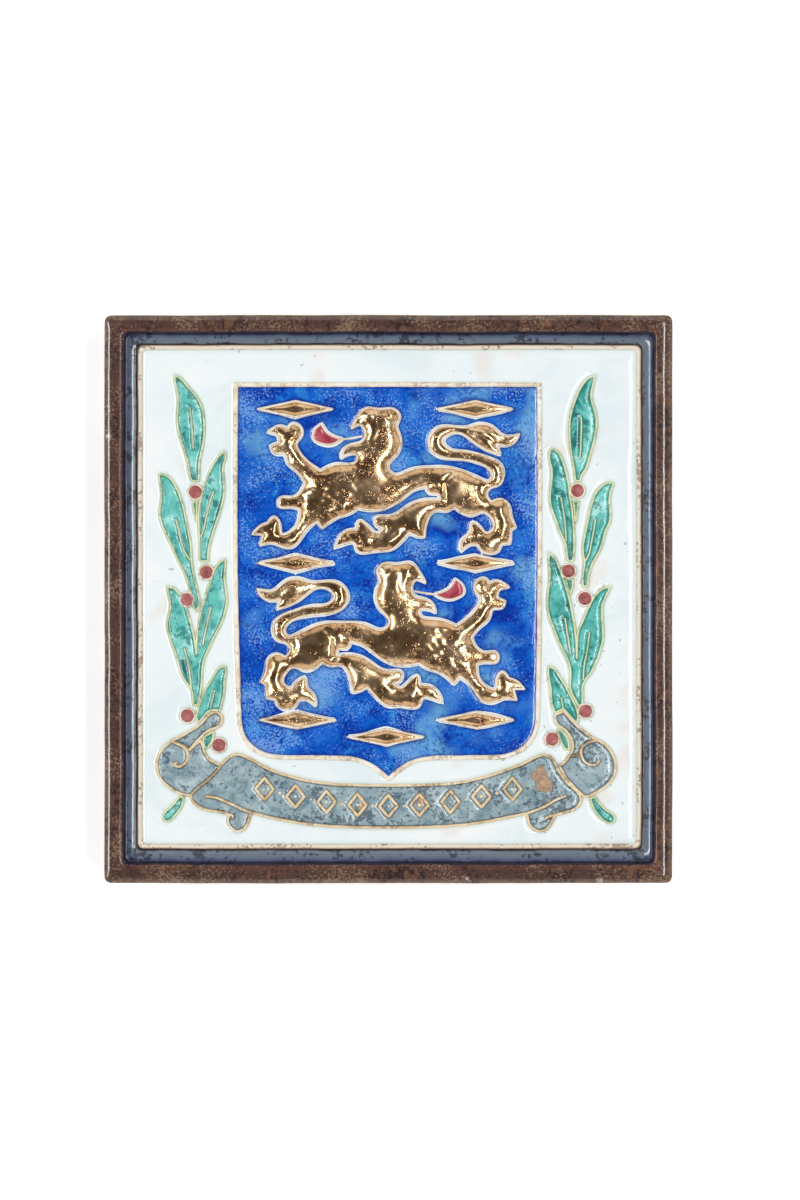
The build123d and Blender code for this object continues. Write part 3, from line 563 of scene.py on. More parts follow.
# %% [markdown]
# ## How a glaze is put together
#
# Every glaze starts as clouds of three colours. Grains lie over them in layers, each with its own colour
# and mask. Close to a clay line another colour comes in. Last comes a faint ripple, because no glaze is
# quite flat. Each of these steps is a function, so that a glaze reads as a short list of what a glazer
# would see.

# %% Steps of a glaze


def start(name, roughness, metallic=0.0):
    """A material with its shader and the object's own coordinates."""
    material = bpy.data.materials.new(name)
    material.use_nodes = True
    tree = material.node_tree
    shader = tree.nodes["Principled BSDF"]
    fill(tree, shader, {"Roughness": roughness, "Metallic": metallic, "IOR": 1.5})
    return material, tree, shader, tree.nodes.new("ShaderNodeTexCoord").outputs["Object"]


def use(tree, shared, values):
    """Places a shared effect in a material with values of its own."""
    node = tree.nodes.new("ShaderNodeGroup")
    node.node_tree = shared
    fill(tree, node, values)
    return node.outputs


def clouded(tree, where, scale, dark, middle, light, distortion=0.4):
    """Three colours in clouds. Gives the colour and the clouds themselves."""
    made = use(tree, mottle, {"Vector": where, "Scale": scale, "Dark": srgb(*dark), "Middle": srgb(*middle),
                              "Light": srgb(*light), "Distortion": distortion})
    return made["Color"], made["Cloud"]


def edged(tree, color, near, far, amount, other):
    """Another colour close to a clay line. near and far are distances from the line in millimetres."""
    distance = put(tree, "ShaderNodeAttribute", attribute_name="edge").outputs["Fac"]
    return mixed(tree, ranged(tree, distance, near, far, amount, 0.0), color, srgb(*other))


def grained(tree, where, color, layers):
    """Lays grains over a colour, layer by layer. Gives the colour and each layer's mask by its name.
    A layer: name, colour, how strong, how fine, the noise where grains begin and are full, how fine the
    patches of more and fewer grains, how strong those patches, and a mask where it may lie, if it has one."""
    masks = {}
    for name, grain_color, amount, scale, least, most, patches, patchiness, *only in layers:
        mask = use(tree, speckle, {"Vector": where, "Scale": scale, "Least": least, "Most": most,
                                   "Patches": patches, "Patchiness": patchiness})["Mask"]
        kept = calc(tree, "MULTIPLY", mask, only[0]) if only else mask
        color = mixed(tree, calc(tree, "MULTIPLY", kept, amount), color, srgb(*grain_color))
        masks[name] = mask
    return color, masks


def finished(tree, shader, color, height, distance):
    """Gives the shader its colour and a faint ripple of a given height in metres."""
    tree.links.new(color, shader.inputs["Base Color"])
    bump = put(tree, "ShaderNodeBump", {"Height": height, "Distance": distance})
    tree.links.new(bump.outputs["Normal"], shader.inputs["Normal"])


print("a glaze is made in", len((start, clouded, grained, edged, finished)), "steps")

# %% [markdown]
# ## The glazes
#
# Each glaze takes its colours from the photograph. The glossy ones have a low roughness. The edge
# distance, stored on the mesh, darkens a pool where it meets its clay line, or thins it there to let the
# clay through.

# %% White and blue grounds
white_glaze, tree, shader, where = start("white_glaze", 0.09)
color, cloud = clouded(tree, where, 60.0, (228, 239, 242), (238, 246, 247), (244, 248, 248), distortion=0.7)
color = edged(tree, color, 0.15, 1.1, 0.6, (214, 232, 230))
# painted shade: a thin darker tan band in the white right beside every clay line
color = edged(tree, color, 0.1, 0.36, 0.7, (200, 204, 186))
color = grained(tree, where, color, [
    ("pits", (140, 148, 150), 0.6, 800.0, 0.72, 0.78, 50.0, 0.4),
    ("warm stains", (234, 222, 210), 0.45, 130.0, 0.6, 0.76, 28.0, 0.6)])[0]
finished(tree, shader, color, cloud, 0.00016)

blue_glaze, tree, shader, where = start("blue_glaze", 0.1)
color = clouded(tree, where, 130.0, (0, 46, 156), (2, 88, 196), (52, 142, 216), distortion=1.0)[0]
color, masks = grained(tree, where, color, [
    ("thin places", (108, 172, 214), 0.85, 85.0, 0.53, 0.7, 30.0, 0.35),
    ("dark grains", (0, 36, 140), 0.65, 1300.0, 0.5, 0.66, 150.0, 0.7),
    ("grains", (46, 118, 216), 0.55, 1900.0, 0.46, 0.64, 230.0, 0.9),
    ("frost", (128, 172, 230), 0.75, 2700.0, 0.56, 0.68, 120.0, 0.9)])
color = edged(tree, color, 0.1, 1.1, 0.9, (0, 38, 138))
finished(tree, shader, color, masks["grains"], 0.00001)
print("the blue has", len(blue_glaze.node_tree.nodes), "nodes, the white", len(white_glaze.node_tree.nodes))

# %% [markdown]
# ## Glazes of the small shapes
#
# The leaves are sea green, darker where the glaze gathers and stained in blotches. The berries are a dull
# iron red that hardly flows, so they stay rough. The ribbon is a grey blue full of dark grains, and in a
# few places it has crawled back and left the tan clay bare. A bare spot is a distance from a place on the
# ribbon, made ragged with noise, because a round spot would look painted on.

# %% Leaves, berries, tongues and ribbon
leaf_glaze, tree, shader, where = start("leaf_glaze", 0.12)
color, cloud = clouded(tree, where, 190.0, (46, 142, 134), (110, 200, 190), (180, 238, 230), distortion=0.8)
color = grained(tree, where, color, [
    ("stains", (16, 98, 98), 0.8, 420.0, 0.6, 0.7, 100.0, 0.8),
    ("flecks", (26, 108, 106), 0.65, 1500.0, 0.54, 0.68, 200.0, 0.9)])[0]
color = edged(tree, color, 0.15, 0.7, 0.85, (34, 120, 110))
finished(tree, shader, color, cloud, 0.00022)

berry_glaze, tree, shader, where = start("berry_glaze", 0.42)
color = clouded(tree, where, 500.0, (130, 60, 60), (164, 88, 86), (190, 120, 116))[0]
color, masks = grained(tree, where, color, [("grains", (120, 56, 60), 0.35, 2200.0, 0.5, 0.7, 120.0, 0.5)])
finished(tree, shader, color, masks["grains"], 0.00003)

tongue_glaze, tree, shader, where = start("tongue_glaze", 0.1)
color, cloud = clouded(tree, where, 420.0, (150, 52, 66), (182, 78, 92), (208, 118, 128))
color = edged(tree, color, 0.0, 0.5, 0.6, (206, 110, 116))
finished(tree, shader, color, cloud, 0.00005)


def bare_spots(tree, where, color, spots, level, clay_color):
    """Shows bare clay in ragged spots. Each spot is a grid place and a radius in millimetres."""
    ragged_by = 0.0026  # metres
    wobble = noise(tree, where, 560.0, 4.0)["Fac"]
    dark, light = [0.84 * c for c in clay_color], [min(255, 1.12 * c) for c in clay_color]
    bare_clay = clouded(tree, where, 1500.0, dark, clay_color, light)[0]
    rim_color = srgb(*[0.72 * c for c in clay_color])
    for place, radius in spots:
        spot = [c * MM for c in grid([place])[0]] + [level * MM]
        away = vector_calc(tree, "DISTANCE", where, spot)
        ragged = calc(tree, "MULTIPLY_ADD", wobble, ragged_by, away)
        rim = ranged(tree, ragged, (radius + 1.3) * MM, (radius + 1.75) * MM, 0.6, 0.0)
        color = mixed(tree, rim, color, rim_color)
        near = ranged(tree, ragged, (radius + 1.05) * MM, (radius + 1.5) * MM, 1.0, 0.0)
        color = mixed(tree, near, color, bare_clay)
    return color


RIBBON_BARE_SPOTS = [((152, -176), 1.4), ((156, -185), 1.5), ((-26, -207), 0.7), ((33, -198), 0.6),
                     ((32, -204), 0.6)]
ribbon_glaze, tree, shader, where = start("ribbon_glaze", 0.15)
color, cloud = clouded(tree, where, 210.0, (108, 134, 144), (150, 172, 178), (186, 206, 208), distortion=0.9)
color = grained(tree, where, color, [
    ("flecks", (54, 68, 88), 0.7, 1500.0, 0.53, 0.63, 210.0, 0.9),
    ("lights", (180, 196, 202), 0.5, 2100.0, 0.56, 0.68, 140.0, 0.8)])[0]
color = edged(tree, color, 0.2, 0.65, 0.8, (76, 78, 78))
color = bare_spots(tree, where, color, RIBBON_BARE_SPOTS, PICTURE_LEVEL, (182, 152, 126))
finished(tree, shader, color, cloud, 0.0001)
print("glazes so far:", [m.name for m in bpy.data.materials if m.name.endswith("glaze")])

# %% [markdown]
# ## Gold and bare clay
#
# Gold lustre is a film of real gold fired over the glaze. It mirrors the room, so its look comes from the
# lamps. The film is thinner in places and lets the brown underneath dull it. The clay lines are cream, with
# tan specks where the glaze has only just touched them.

# %% Gold and clay
gold, tree, shader, where = start("gold_lustre", 0.16, metallic=1.0)
color, cloud = clouded(tree, where, 260.0, (178, 134, 94), (210, 172, 128), (232, 202, 164), distortion=0.5)
color, masks = grained(tree, where, color, [("worn", (116, 80, 54), 0.55, 1300.0, 0.6, 0.72, 220.0, 0.7)])
tree.links.new(ranged(tree, cloud, 0.3, 0.7, 0.15, 0.27), shader.inputs["Roughness"])
finished(tree, shader, color, masks["worn"], 0.00004)


def clay(name, dark, middle, light, stain, roughness):
    """The clay of the raised lines, stained a little by the glaze beside it."""
    material, tree, shader, where = start(name, roughness)
    color = clouded(tree, where, 320.0, dark, middle, light)[0]
    color, masks = grained(tree, where, color, [("specks", stain, 0.6, 1500.0, 0.58, 0.7, 150.0, 0.8)])
    finished(tree, shader, color, masks["specks"], 0.00002)
    return material


line_clay = clay("line_clay", (218, 198, 168), (242, 230, 210), (248, 242, 230), (166, 130, 96), 0.45)
leaf_clay = clay("leaf_clay", (190, 206, 160), (222, 228, 184), (236, 238, 206), (120, 160, 130), 0.3)
ribbon_clay = clay("ribbon_clay", (206, 178, 132), (236, 212, 170), (246, 232, 204), (150, 120, 88), 0.25)
print("gold and clay are ready")

# %% [markdown]
# ## The moulded clay body
#
# The rim is one profile carried all the way round a square. That is a rule, so Geometry Nodes makes it: a
# plain grid is bent so that one direction runs round the square and the other follows the profile. Each
# ring is the outer square drawn smaller about the middle, which is what mitres the corners. The profile
# starts at the back, goes up the side, over the brown rim, down into the channel, up the grey-blue slope
# and over the cream border line.

# %% Profile of the moulding
# name of the stretch that ends here, distance in from the side, height above the back, 1 at a sharp corner
PROFILE = [
    ("start", 8.0, 0.0, 1), ("back", 1.0, 0.0, 1), ("back edge", 0.5, 0.35), ("bare foot", 0.3, 1.3),
    ("side", 0.15, 6.0), ("side", 0.0, 10.5), ("shoulder", 0.07, 11.1), ("shoulder", 0.25, 11.43),
    ("shoulder", 0.5, 11.6), ("shoulder", 0.8, 11.72), ("shoulder", 1.15, 11.84), ("crest", 1.5, 11.92),
    ("crest", 1.9, 11.965), ("rim", 2.4, 11.99), ("rim", 2.95, 11.96), ("rim lip", 3.3, 11.84),
    ("rim lip", 3.5, 11.5), ("inner wall", 3.62, 10.7), ("inner wall", 3.72, 10.0), ("groove", 3.86, 9.74),
    ("groove", 4.02, 9.66), ("groove", 4.35, 9.69), ("slope", 4.72, 9.735), ("slope", 4.92, 9.79),
    ("slope", 5.18, 9.875), ("slope", 5.5, 10.0), ("slope", 5.83, 10.12), ("seam", 6.0, 9.98),
    ("line foot", 6.12, 10.55), ("line", 6.28, 10.9), ("line", 6.5, 11.05), ("line", 6.78, 10.95),
    ("line end", 7.0, 10.5, 1), ("floor", 8.9, 10.35, 1),
]
profile_line = stroke([(inset / STEP, height / STEP, *mark) for _, inset, height, *mark in PROFILE], 0.16)
lengths = np.concatenate([[0], np.cumsum(np.hypot(*np.diff(profile_line, axis=0).T))])
PROFILE_LENGTH = lengths[-1]


def along_profile(inset, height):
    """How far along the profile a given point lies, in millimetres."""
    return lengths[np.argmin(np.hypot(*(profile_line - (inset, height)).T))]


print("the profile is", round(PROFILE_LENGTH, 2), "mm long")

# %% [markdown]
# ## The finish of the rim
#
# One glaze runs over the whole moulding: brown on the rim, grey blue in the channel, and cream where the
# border line stands bare. The place along the profile is stored on the mesh, so one colour ramp paints all
# the bands, and noise sways their edges as a brush would. Sand, rust and dark grains lie on top, each with
# its own mask.

# %% Clay body finish
# distance in, height, colour of the glaze there
BANDS = [
    (8.0, 0.0, (224, 205, 176)), (0.32, 1.2, (222, 202, 172)), (0.28, 1.9, (150, 120, 96)),
    (0.25, 2.6, (74, 50, 44)), (0.0, 10.5, (108, 86, 60)), (0.25, 11.43, (116, 92, 68)),
    (0.6, 11.64, (94, 72, 60)), (1.5, 11.92, (82, 60, 54)), (2.4, 11.99, (84, 60, 54)),
    (2.95, 11.96, (98, 68, 56)), (3.3, 11.84, (84, 54, 50)), (3.5, 11.5, (64, 38, 44)),
    (3.68, 10.3, (40, 28, 44)), (3.9, 9.7, (54, 58, 84)), (4.1, 9.67, (94, 106, 130)),
    (4.9, 9.79, (124, 136, 152)), (5.5, 10.0, (122, 134, 140)), (5.8, 10.11, (66, 62, 68)),
    (6.0, 9.99, (24, 14, 20)), (6.1, 10.46, (70, 50, 40)), (6.2, 10.74, (190, 164, 132)),
    (6.36, 11.0, (226, 206, 178)), (6.7, 11.0, (236, 226, 208)), (6.92, 10.7, (226, 220, 206)),
    (7.1, 10.48, (214, 212, 202)), (8.9, 10.35, (224, 205, 176)),
]
RIM_CHIPS = [((-280, 162), 0.35), ((-279, 118), 0.2), ((78, -279.5), 0.4), ((-190, 279), 0.2),
             ((210, -280), 0.25)]
CHIP_LEVEL = 11.5
body_glaze, tree, shader, where = start("rim_glaze", 0.24)
across = put(tree, "ShaderNodeAttribute", attribute_name="across").outputs["Fac"]
drift = noise(tree, where, 260.0, 3.0)["Fac"]
swayed = calc(tree, "ADD", across, ranged(tree, drift, 0.3, 0.7, -0.12, 0.12))
ramp = put(tree, "ShaderNodeValToRGB", {"Fac": calc(tree, "DIVIDE", swayed, PROFILE_LENGTH)})
stops = ramp.color_ramp.elements
for i, (inset, height, rgb) in enumerate(BANDS):
    place = along_profile(inset, height) / PROFILE_LENGTH
    stop = stops[i] if i < 2 else stops.new(place)
    stop.position = place
    stop.color = srgb(*rgb)


def stretch(first, second, to_low=0.0, to_high=1.0):
    """A mask that changes along the profile between two of its points."""
    return ranged(tree, across, along_profile(*first), along_profile(*second), to_low, to_high)


on_glaze = stretch((0.25, 2.6), (0.2, 4.0))
glazed = calc(tree, "MULTIPLY", on_glaze, stretch((5.8, 10.11), (6.0, 9.99), 1.0, 0.0))
bare = calc(tree, "SUBTRACT", 1.0, on_glaze)
on_rim = calc(tree, "MULTIPLY", stretch((3.3, 11.84), (3.55, 11.2), 1.0, 0.0), on_glaze)
on_line = stretch((6.12, 10.55), (6.28, 10.9))
color = grained(tree, where, ramp.outputs["Color"], [
    ("flecks", (26, 22, 30), 0.65, 1000.0, 0.56, 0.68, 180.0, 0.8, glazed),
    ("grit", (172, 146, 116), 0.6, 900.0, 0.5, 0.68, 70.0, 0.8, bare),
    ("pale stains", (238, 222, 196), 0.6, 110.0, 0.45, 0.65, 25.0, 0.6, bare),
    ("rust", (132, 94, 70), 0.5, 600.0, 0.58, 0.74, 90.0, 0.9, on_rim),
    ("sand", (170, 142, 114), 0.45, 2100.0, 0.54, 0.68, 160.0, 0.7, on_rim),
    ("dark grains", (44, 24, 26), 0.45, 1700.0, 0.54, 0.68, 120.0, 0.7, on_rim),
    ("specks", (140, 104, 76), 0.7, 1300.0, 0.6, 0.68, 150.0, 0.9, on_line)])[0]
color = bare_spots(tree, where, color, RIM_CHIPS, CHIP_LEVEL, (196, 180, 168))
tree.links.new(calc(tree, "MULTIPLY_ADD", glazed, -0.4, 0.52), shader.inputs["Roughness"])
finished(tree, shader, color, drift, 0.00004)
print("the body has", len(BANDS), "bands of colour across its profile")

# %% [markdown]
# ## Help for Geometry Nodes
#
# Three pieces here follow a rule: the moulding, the clay lines and the domes of berries and dots. Each is a
# Geometry Nodes tree with named inputs. These helpers make such a tree, run it on an object, and keep the
# result as a plain mesh, so that nothing is left live.

# %% Geometry Nodes helpers


def node_tree(name, inputs):
    """A Geometry Nodes tree with a geometry input and output and the named inputs."""
    return new_tree(name, "GeometryNodeTree", [("Geometry", GEOMETRY, None)] + inputs,
                    [("Geometry", GEOMETRY)])


def end_tree(tree, geometry, material, result):
    """The end of every tree: real and smooth geometry in its material."""
    real = put(tree, "GeometryNodeRealizeInstances", {"Geometry": geometry})
    smooth = put(tree, "GeometryNodeSetShadeSmooth", {"Geometry": real.outputs[0]})
    painted = put(tree, "GeometryNodeSetMaterial", {"Geometry": smooth.outputs[0], "Material": material})
    tree.links.new(painted.outputs[0], result["Geometry"])


def added(name, data):
    """A new object in the scene."""
    made = bpy.data.objects.new(name, data)
    bpy.context.collection.objects.link(made)
    return made


def grow(source, tree, values, name):
    """Runs a tree on an object with the given inputs, and returns the result as a plain mesh object."""
    modifier = source.modifiers.new("grow", "NODES")
    modifier.node_group = tree
    identifiers = {item.name: item.identifier for item in tree.interface.items_tree
                   if item.item_type == "SOCKET" and item.in_out == "INPUT"}
    for key, value in values.items():
        modifier[identifiers[key]] = value
    bpy.context.view_layer.update()
    evaluated = source.evaluated_get(bpy.context.evaluated_depsgraph_get())
    mesh = bpy.data.meshes.new_from_object(evaluated)
    mesh.name = name
    bpy.data.objects.remove(source)
    # the tree leaves an empty slot before its own material, so one slot is kept for every face
    material = next(m for m in mesh.materials if m)
    mesh.materials.clear()
    mesh.materials.append(material)
    mesh.polygons.foreach_set("material_index", np.zeros(len(mesh.polygons), np.int32))
    print(name, "has", len(mesh.polygons), "faces")
    return added(name, mesh)


def curve_object(name, lines, closed, level):
    """Poly curves, in metres, through lines given in millimetres."""
    data = bpy.data.curves.new(name, "CURVE")
    data.dimensions = "3D"
    data.twist_mode = "Z_UP"
    for line in lines:
        spline = data.splines.new("POLY")
        spline.points.add(len(line) - 1)
        co = np.ones((len(line), 4))
        co[:, :2] = line * MM
        co[:, 2] = level * MM
        spline.points.foreach_set("co", co.ravel())
        spline.use_cyclic_u = closed
    return added(name, data)


print("helpers ready:", node_tree.__name__, grow.__name__, "and", curve_object.__name__)

# %% The moulding, by Geometry Nodes
NOISE_MIDDLE = (0.5, 0.5, 0.5)
NOISE_SWING = 4.0  # noise stays within about a quarter of its middle
SHEET_WELD = 0.002  # the bent sheet's two ends meet closer than this
moulding, given, result = node_tree("moulding", [
    ("Half Side", FLOAT, TILE_HALF * MM), ("Corner Radius", FLOAT, 1.2 * MM), ("Stations Round", WHOLE, 600),
    ("Stations Across", WHOLE, 150), ("Profile Length", FLOAT, PROFILE_LENGTH),
    ("Waviness", FLOAT, 0.12 * MM), ("Shift", VECTOR, None), ("Seed", FLOAT, 3.0),
    ("Material", MATERIAL, None)])
sheet = put(moulding, "GeometryNodeMeshGrid", {"Size X": 1.0, "Size Y": 1.0,
                                               "Vertices X": given["Stations Round"],
                                               "Vertices Y": given["Stations Across"]})
position = put(moulding, "GeometryNodeInputPosition").outputs[0]
shares = vector_calc(moulding, "ADD", position, (0.5, 0.5, 0.0))
uv = put(moulding, "ShaderNodeSeparateXYZ", {0: shares}).outputs

side = calc(moulding, "MULTIPLY", given["Half Side"], 2.0)
square = put(moulding, "GeometryNodeCurvePrimitiveQuadrilateral", {"Width": side, "Height": side})
rounded = put(moulding, "GeometryNodeFilletCurve",
              {"Curve": square.outputs[0], "Radius": given["Corner Radius"], "Count": 8}, mode="POLY")
ring = put(moulding, "GeometryNodeSampleCurve", {"Curves": rounded.outputs[0], "Factor": uv["X"]},
           mode="FACTOR").outputs["Position"]
cut = put(moulding, "GeometryNodeSampleCurve", {"Curves": given["Geometry"], "Factor": uv["Y"]},
          mode="FACTOR").outputs["Position"]
cut_xyz = put(moulding, "ShaderNodeSeparateXYZ", {0: cut}).outputs

inward = calc(moulding, "DIVIDE", cut_xyz["X"], given["Half Side"])
scaled = vector_calc(moulding, "SCALE", ring, calc(moulding, "SUBTRACT", 1.0, inward))
lifted = put(moulding, "ShaderNodeCombineXYZ", {"Z": cut_xyz["Z"]}).outputs[0]
placed = vector_calc(moulding, "ADD", scaled, lifted)

# the waves begin above the foot, and the shift of the picture also grows inward from the crest
above = ranged(moulding, cut_xyz["Z"], 2 * MM, 9.5 * MM, kind="LINEAR")
moved_in = ranged(moulding, cut_xyz["X"], 1.5 * MM, 6.0 * MM, kind="LINEAR")
shifted = vector_calc(moulding, "SCALE", given["Shift"], calc(moulding, "MULTIPLY", above, moved_in))
waving = noise(moulding, placed, 55.0, 2.0, W=given["Seed"])["Color"]
wave_centred = vector_calc(moulding, "SUBTRACT", waving, NOISE_MIDDLE)
wave_share = calc(moulding, "MULTIPLY", above, given["Waviness"])
wave = vector_calc(moulding, "SCALE", wave_centred, wave_share)
wave_more = vector_calc(moulding, "MULTIPLY", wave, (NOISE_SWING, NOISE_SWING, 1.0))
total = vector_calc(moulding, "ADD", placed, shifted)
total_wave = vector_calc(moulding, "ADD", total, wave_more)

length_here = calc(moulding, "MULTIPLY", uv["Y"], given["Profile Length"])
stored = put(moulding, "GeometryNodeStoreNamedAttribute",
             {"Geometry": sheet.outputs["Mesh"], "Name": "across", "Value": length_here},
             data_type="FLOAT", domain="POINT")
bent = put(moulding, "GeometryNodeSetPosition", {"Geometry": stored.outputs[0], "Position": total_wave})
welded = put(moulding, "GeometryNodeMergeByDistance",
             {"Geometry": bent.outputs[0], "Distance": SHEET_WELD * MM})
end_tree(moulding, welded.outputs[0], given["Material"], result)

profile_source = curve_object("profile", [profile_line], False, 0.0)
for point, (inset, height) in zip(profile_source.data.splines[0].points, profile_line):
    point.co = (inset * MM, 0.0, height * MM, 1.0)
body = grow(profile_source, moulding, {"Waviness": 0.1 * MM, "Shift": (SHIFT[0] * MM, SHIFT[1] * MM, 0.0),
                                       "Material": body_glaze}, "clay_body")

# %% [markdown]
# ## Closing the body
#
# The moulding is open in the middle, above and below. Above, a plain floor lies hidden under the glazes.
# Below is the back of the tile, which the photograph never shows: it gets the shallow grooves that help
# such a tile grip its cement. A constrained triangulation fills the flat back round the grooves.

# %% Flat fills
POINTS_AT_ONCE = 4000  # a bigger batch would need more memory
CLOSE_ENOUGH = 1e-5  # millimetres, within which two points of a triangulation are one
NO_AREA = 1e-9


def inside(points, loop):
    """Which points lie inside a closed line, by counting crossings to the right."""
    result = np.zeros(len(points), bool)
    a, b = loop, np.roll(loop, -1, axis=0)
    near = np.flatnonzero(np.all((points >= loop.min(0)) & (points <= loop.max(0)), axis=1))
    for start_at in range(0, len(near), POINTS_AT_ONCE):
        chunk = near[start_at:start_at + POINTS_AT_ONCE]
        x, y = points[chunk, 0][:, None], points[chunk, 1][:, None]
        spans = (a[:, 1] > y) != (b[:, 1] > y)
        rise = np.where(b[:, 1] == a[:, 1], 1e-12, b[:, 1] - a[:, 1])
        crossing = a[:, 0] + (y - a[:, 1]) * (b[:, 0] - a[:, 0]) / rise
        result[chunk] = np.sum(spans & (x < crossing), axis=1) % 2 == 1
    return result


def triangulate(loops, extra):
    """Triangles over everything inside the first loop, keeping every loop's edges."""
    points = [tuple(p) for loop in loops for p in loop] + [tuple(p) for p in extra]
    edges = []
    first = 0
    for loop in loops:
        n = len(loop)
        edges += [(first + i, first + (i + 1) % n) for i in range(n)]
        first += n
    made = delaunay_2d_cdt([Vector(p) for p in points], edges, [], 0, CLOSE_ENOUGH)
    xy = np.array([tuple(v) for v in made[0]])
    faces = np.array([f for f in made[2] if len(f) == 3])
    faces = faces[inside(xy[faces].mean(1), loops[0])]
    a, b, c = (xy[faces[:, i]] for i in range(3))
    turn = (b[:, 0] - a[:, 0]) * (c[:, 1] - a[:, 1]) - (b[:, 1] - a[:, 1]) * (c[:, 0] - a[:, 0])
    faces[turn < 0] = faces[turn < 0][:, ::-1]
    return xy, faces[np.abs(turn) > NO_AREA]


unit_square = np.array([(0, 0), (1, 0), (1, 1), (0, 1.0)])
print("a unit square fills with", len(triangulate([unit_square], [])[1]), "faces")

# %% Back and floor
KEY_DEPTH = 0.8
KEY_HALF_WIDTH = 2.5
KEY_HALF_LENGTH = 42.0
KEY_CORNER = 0.8
KEY_LEAN = 0.25  # each wall of a groove leans in by this much
KEY_PITCH = 13.0
KEY_COUNT = 6
FLAT_BACK = 46.0  # half the side of the flat part of the back
MID_HEIGHT = 5.0  # between the back's opening and the picture's
BODY_WELD = 0.004  # corners closer than this become one
LEVEL = 0.999  # a face that points this straight up or down is shaded flat


def groove(x, shrink):
    """The round-cornered plan of one groove, smaller by shrink."""
    w, h, r = KEY_HALF_WIDTH - shrink, KEY_HALF_LENGTH - shrink, KEY_CORNER
    line = []
    for cx, cy, turn in ((w - r, h - r, 0), (r - w, h - r, 1), (r - w, r - h, 2), (w - r, r - h, 3)):
        for a in np.arange(0, 6) * math.pi / 10 + turn * math.pi / 2:
            line.append((x + cx + r * math.cos(a), cy + r * math.sin(a)))
    return np.array(line)


def in_order(verts):
    """Corners of a mesh sorted round the middle."""
    return sorted(verts, key=lambda v: math.atan2(v.co.y, v.co.x))


mesh = bmesh.new()
mesh.from_mesh(body.data)
layer = mesh.verts.layers.float["across"]
open_verts = {v for e in mesh.edges if e.is_boundary for v in e.verts}
low_ring = in_order(v for v in open_verts if v.co.z < MID_HEIGHT * MM)
high_ring = in_order(v for v in open_verts if v.co.z > MID_HEIGHT * MM)
mesh.faces.new(high_ring)
ring_line = np.array([tuple(v.co)[:2] for v in low_ring]) / MM
groove_places = [(i - (KEY_COUNT - 1) / 2) * KEY_PITCH for i in range(KEY_COUNT)]
mouths = [groove(x, 0.0) for x in groove_places]
floors = [groove(x, KEY_LEAN) for x in groove_places]
xy, faces = triangulate([ring_line] + mouths, [])
in_groove = np.zeros(len(faces), bool)
for mouth in mouths:
    in_groove |= inside(xy[faces].mean(1), mouth)
new_verts = [mesh.verts.new((x * MM, y * MM, 0.0)) for x, y in xy]
for face in faces[~in_groove]:
    mesh.faces.new([new_verts[i] for i in face])
for mouth, floor_line in zip(mouths, floors):
    rim = [mesh.verts.new((x * MM, y * MM, 0.0)) for x, y in mouth]
    low = [mesh.verts.new((x * MM, y * MM, KEY_DEPTH * MM)) for x, y in floor_line]
    for i in range(len(rim)):
        k = (i + 1) % len(rim)
        mesh.faces.new((rim[i], rim[k], low[k], low[i]))
    mesh.faces.new(low)
for v in mesh.verts:
    if v.co.z <= KEY_DEPTH * MM + 1e-7 and max(abs(v.co.x), abs(v.co.y)) < FLAT_BACK * MM:
        v[layer] = 0.0
bmesh.ops.remove_doubles(mesh, verts=mesh.verts, dist=BODY_WELD * MM)
bmesh.ops.recalc_face_normals(mesh, faces=mesh.faces)
for face in mesh.faces:
    face.smooth = abs(face.normal.z) < LEVEL
print("open edges left in the body:", sum(e.is_boundary for e in mesh.edges))
mesh.to_mesh(body.data)
mesh.free()

# %% [markdown]
# ## Clay lines
#
# On the real tile these were cut into the plaster mould as thin grooves, so they came out as raised threads
# of clay. A Geometry Nodes tree lays an oval thread along every drawn line. A little noise in its path and
# its thickness keeps it from looking machine made.

# %% The line tree
threads, given, result = node_tree("clay_line", [
    ("Width", FLOAT, 0.5 * MM), ("Height", FLOAT, 0.4 * MM), ("Unevenness", FLOAT, 0.25),
    ("Waviness", FLOAT, 0.05 * MM), ("Sides", WHOLE, 12), ("Seed", FLOAT, 1.0), ("Material", MATERIAL, None)])
position = put(threads, "GeometryNodeInputPosition").outputs[0]
wander = noise(threads, position, 500.0, 2.0, W=given["Seed"])["Color"]
centred = vector_calc(threads, "SUBTRACT", wander, NOISE_MIDDLE)
strayed = vector_calc(threads, "SCALE", centred, given["Waviness"])
flat = vector_calc(threads, "MULTIPLY", strayed, (NOISE_SWING, NOISE_SWING, 0.0))
bent = put(threads, "GeometryNodeSetPosition", {"Geometry": given["Geometry"], "Offset": flat})
pulse = noise(threads, position, 280.0, 3.0, W=given["Seed"])["Fac"]
swung = calc(threads, "MULTIPLY", calc(threads, "SUBTRACT", pulse, 0.5), given["Unevenness"])
size_here = calc(threads, "MULTIPLY_ADD", swung, NOISE_SWING, 1.0)
thick = put(threads, "GeometryNodeSetCurveRadius", {"Curve": bent.outputs[0], "Radius": size_here})
oval = put(threads, "GeometryNodeCurvePrimitiveCircle", {"Resolution": given["Sides"], "Radius": 1.0})
half_width = calc(threads, "MULTIPLY", given["Width"], 0.5)
oval_size = put(threads, "ShaderNodeCombineXYZ", {"X": half_width, "Y": given["Height"], "Z": 1.0})
oval_shaped = put(threads, "GeometryNodeTransform",
                  {"Geometry": oval.outputs[0], "Scale": oval_size.outputs[0]})
swept = put(threads, "GeometryNodeCurveToMesh", {"Curve": thick.outputs[0],
                                                 "Profile Curve": oval_shaped.outputs[0], "Fill Caps": True})
if "Scale" in swept.inputs:
    threads.links.new(size_here, swept.inputs["Scale"])
end_tree(threads, swept.outputs[0], given["Material"], result)
print("the line tree has", len(threads.nodes), "nodes")

